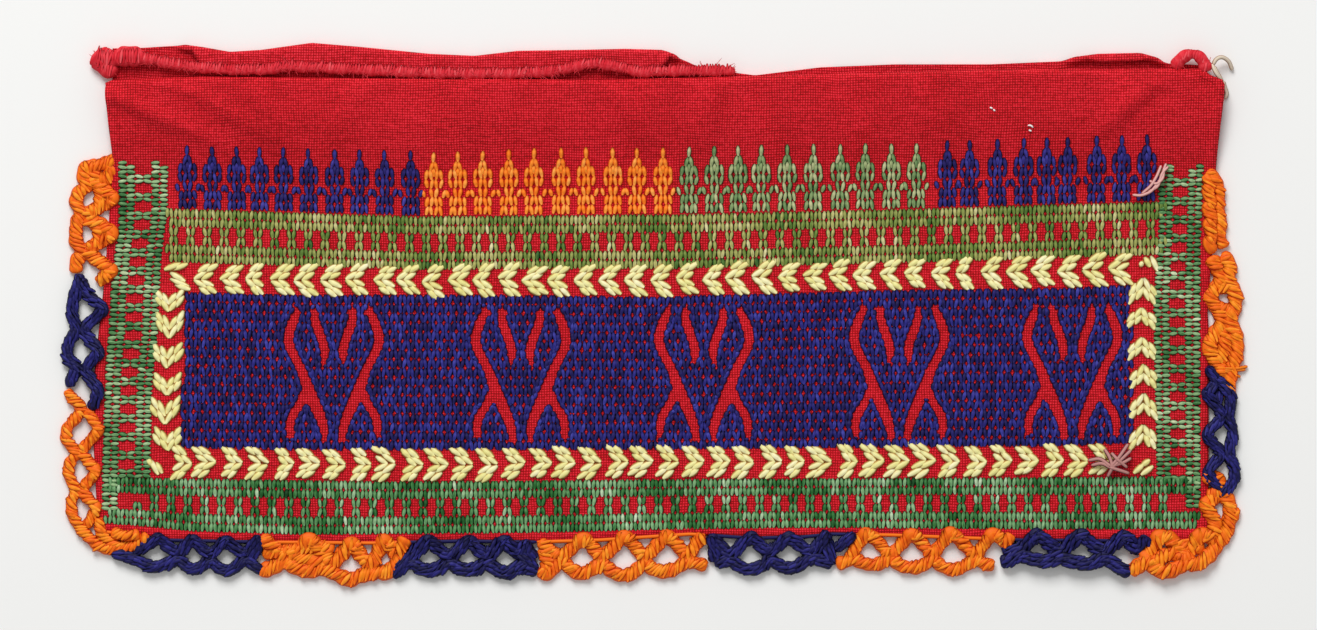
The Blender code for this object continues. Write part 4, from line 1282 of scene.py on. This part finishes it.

# Loose threads: ends of sewing thread and of lace thread that stand free of the panel, and bits of
# fluff caught in the cloth. Those of one colour make one piece.

# Radius, dark shade, light shade, edge shade (painted shade at the threads' sides and ends), and the lines
# that the threads follow
LOOSE_THREADS = {
    "pale": (0.42, (206, 184, 160), (238, 226, 206), (160, 130, 104), (
        ((112, 50, 2.6), (112.6, 51.2, 2.6), (113.9, 51.6, 2.2), (115.3, 50.7, 1.4), (116, 49, 0.5)),
        ((111.8, 50, 2.8), (112.2, 48.8, 3.2), (113, 47.6, 3), (113.7, 46.8, 2.2)),
        ((112.2, 49.6, 2.8), (112.6, 48.6, 3), (113.4, 47.4, 2.6), (113.9, 46.4, 1.6)),
        ((114.2, 46.6, 1.4), (114.6, 45.2, 0.6), (115.1, 44.2, 0.4), (114.5, 43.3, 0.4)))),
    "dusty_pink": (0.34, (206, 134, 128), (244, 204, 196), (160, 76, 76), (
        ((96, 24, 2.2), (97.6, 23.8, 2.5), (99.6, 24.6, 2.7), (101.2, 26.6, 2.7), (102.6, 30.2, 2.5)),
        ((97.8, 24.2, 2.2), (99.6, 25.8, 2.8), (100.8, 27.8, 2.8), (101.6, 29.8, 2.6)),
        ((99, 24.6, 2.4), (101, 25.6, 2.8), (101.8, 28.4, 2.8), (103, 29.6, 2.6)),
        ((99.4, 26.8, 2.4), (100.6, 26, 2.9), (102, 27.2, 2.8), (102.2, 29.4, 2.6)))),
    "mauve": (0.42, (150, 84, 90), (222, 170, 156), (104, 44, 56), (
        ((87.2, -29, 2), (89.4, -28.6, 2.5), (91.6, -30.2, 2.9)),
        ((87.8, -30, 2), (89.8, -29.5, 2.6), (91.8, -30.6, 2.8)),
        ((90.4, -26.8, 2), (91.4, -28.4, 2.7), (91.9, -30.4, 3), (91, -32.2, 2.1)),
        ((91.4, -30.4, 2.9), (93.2, -28.4, 2.9), (95, -25.8, 2.2)),
        ((91.6, -30.6, 2.9), (93.6, -28.9, 2.8), (95.6, -27, 2.2)),
        ((91.6, -30.2, 2.9), (94, -29.5, 2.7), (95.6, -28.6, 2.1)),
        ((91.4, -30.4, 3), (93.4, -31, 2.8), (95.2, -31.6, 2.1)),
        ((91.8, -27.6, 2.2), (92.8, -28.8, 3.2), (94.8, -30.4, 2.3)))),
    "white": (0.2, (240, 228, 224), (255, 255, 255), (226, 190, 190), (
        ((75, 37.8, 3.3), (75.6, 38, 3.4), (76, 37.4, 3.3)),
        ((75.2, 36.9, 3.2), (75.7, 36.7, 3.2)),
        ((67.4, 41.4, 3.7), (67.9, 41.2, 3.7)), ((68.1, 41, 3.7), (68.4, 40.7, 3.7)))),
    "orange": (0.34, (236, 96, 4), (255, 158, 40), (190, 44, 0), (
        ((114.4, -10.6, 1.6), (116.8, -10.7, 1.2), (119, -10.3, 0.5)),
        ((114.4, -11, 1.6), (116.4, -11.1, 1.1), (118.6, -10.9, 0.5)),
        ((114.4, -11.2, 1.6), (116.2, -11.8, 1), (117.6, -12.4, 0.5)),
        ((114.6, -4.4, 1.4), (117.4, -5.6, 0.8), (118.2, -7.2, 0.4))))}


def loose_threads(name, radius, dark, light, edge, lines):
    """Round threads of one colour through places on the panel."""
    shapes = []
    for line in lines:
        path = rounded_path(line, 0.3, 1.0)
        half = radius * end_taper(len(path), 2.0)
        thread = swept(path, half, half, 6)
        shapes.append(marked(thread, 0.5, share=np.linspace(0.1, 0.9, len(thread[0]))))
    piece("loose_threads_" + name, gather(shapes), yarn("loose thread " + name, (dark, light), edge), None)


for thread_name, thread_sizes in LOOSE_THREADS.items():
    loose_threads(thread_name, *thread_sizes)

# Table: a plain pale surface under the panel, with a camera straight above it and soft studio light
# from beyond the hem.
TABLE_HALF = 1.5
table = placed("table", bpy.data.meshes.new("table"))
table.data.from_pydata(
    [(x * TABLE_HALF, y * TABLE_HALF, 0) for x, y in ((-1, -1), (1, -1), (1, 1), (-1, 1))],
    [], [(0, 1, 2, 3)])
table_finish, table_shader, _ = cloth_finish("pale table", 0.9)
table_shader.inputs["Base Color"].default_value = dyed((245, 245, 243))
table.data.materials.append(table_finish)

# A long lens, so high that the frame's width of 1317 pixels spans 263.4 mm
CAMERA_HEIGHT = 1.317
CAMERA_ASIDE = 1.3
camera = placed("camera", bpy.data.cameras.new("camera"))
camera.data.sensor_width = 36.0
camera.data.lens = 180.0
camera.location = (CAMERA_ASIDE * MM, 0.0, CAMERA_HEIGHT)
bpy.context.scene.camera = camera

# A window's soft light, aimed at the panel, and a dim even light from all around
LIGHT_PLACE = Vector((-0.3, 1.2, 1.15))
light = placed("window light", bpy.data.lights.new("window light", "AREA"))
light.data.size = 0.8
light.data.energy = 22.5
light.location = LIGHT_PLACE
light.rotation_euler = (-LIGHT_PLACE).to_track_quat("-Z", "Y").to_euler()

world = bpy.data.worlds.new("studio")
world.use_nodes = True
world.node_tree.nodes["Background"].inputs["Color"].default_value = (1.0, 1.0, 1.0, 1.0)
world.node_tree.nodes["Background"].inputs["Strength"].default_value = 0.46
bpy.context.scene.world = world
bpy.context.scene.view_settings.view_transform = "Standard"
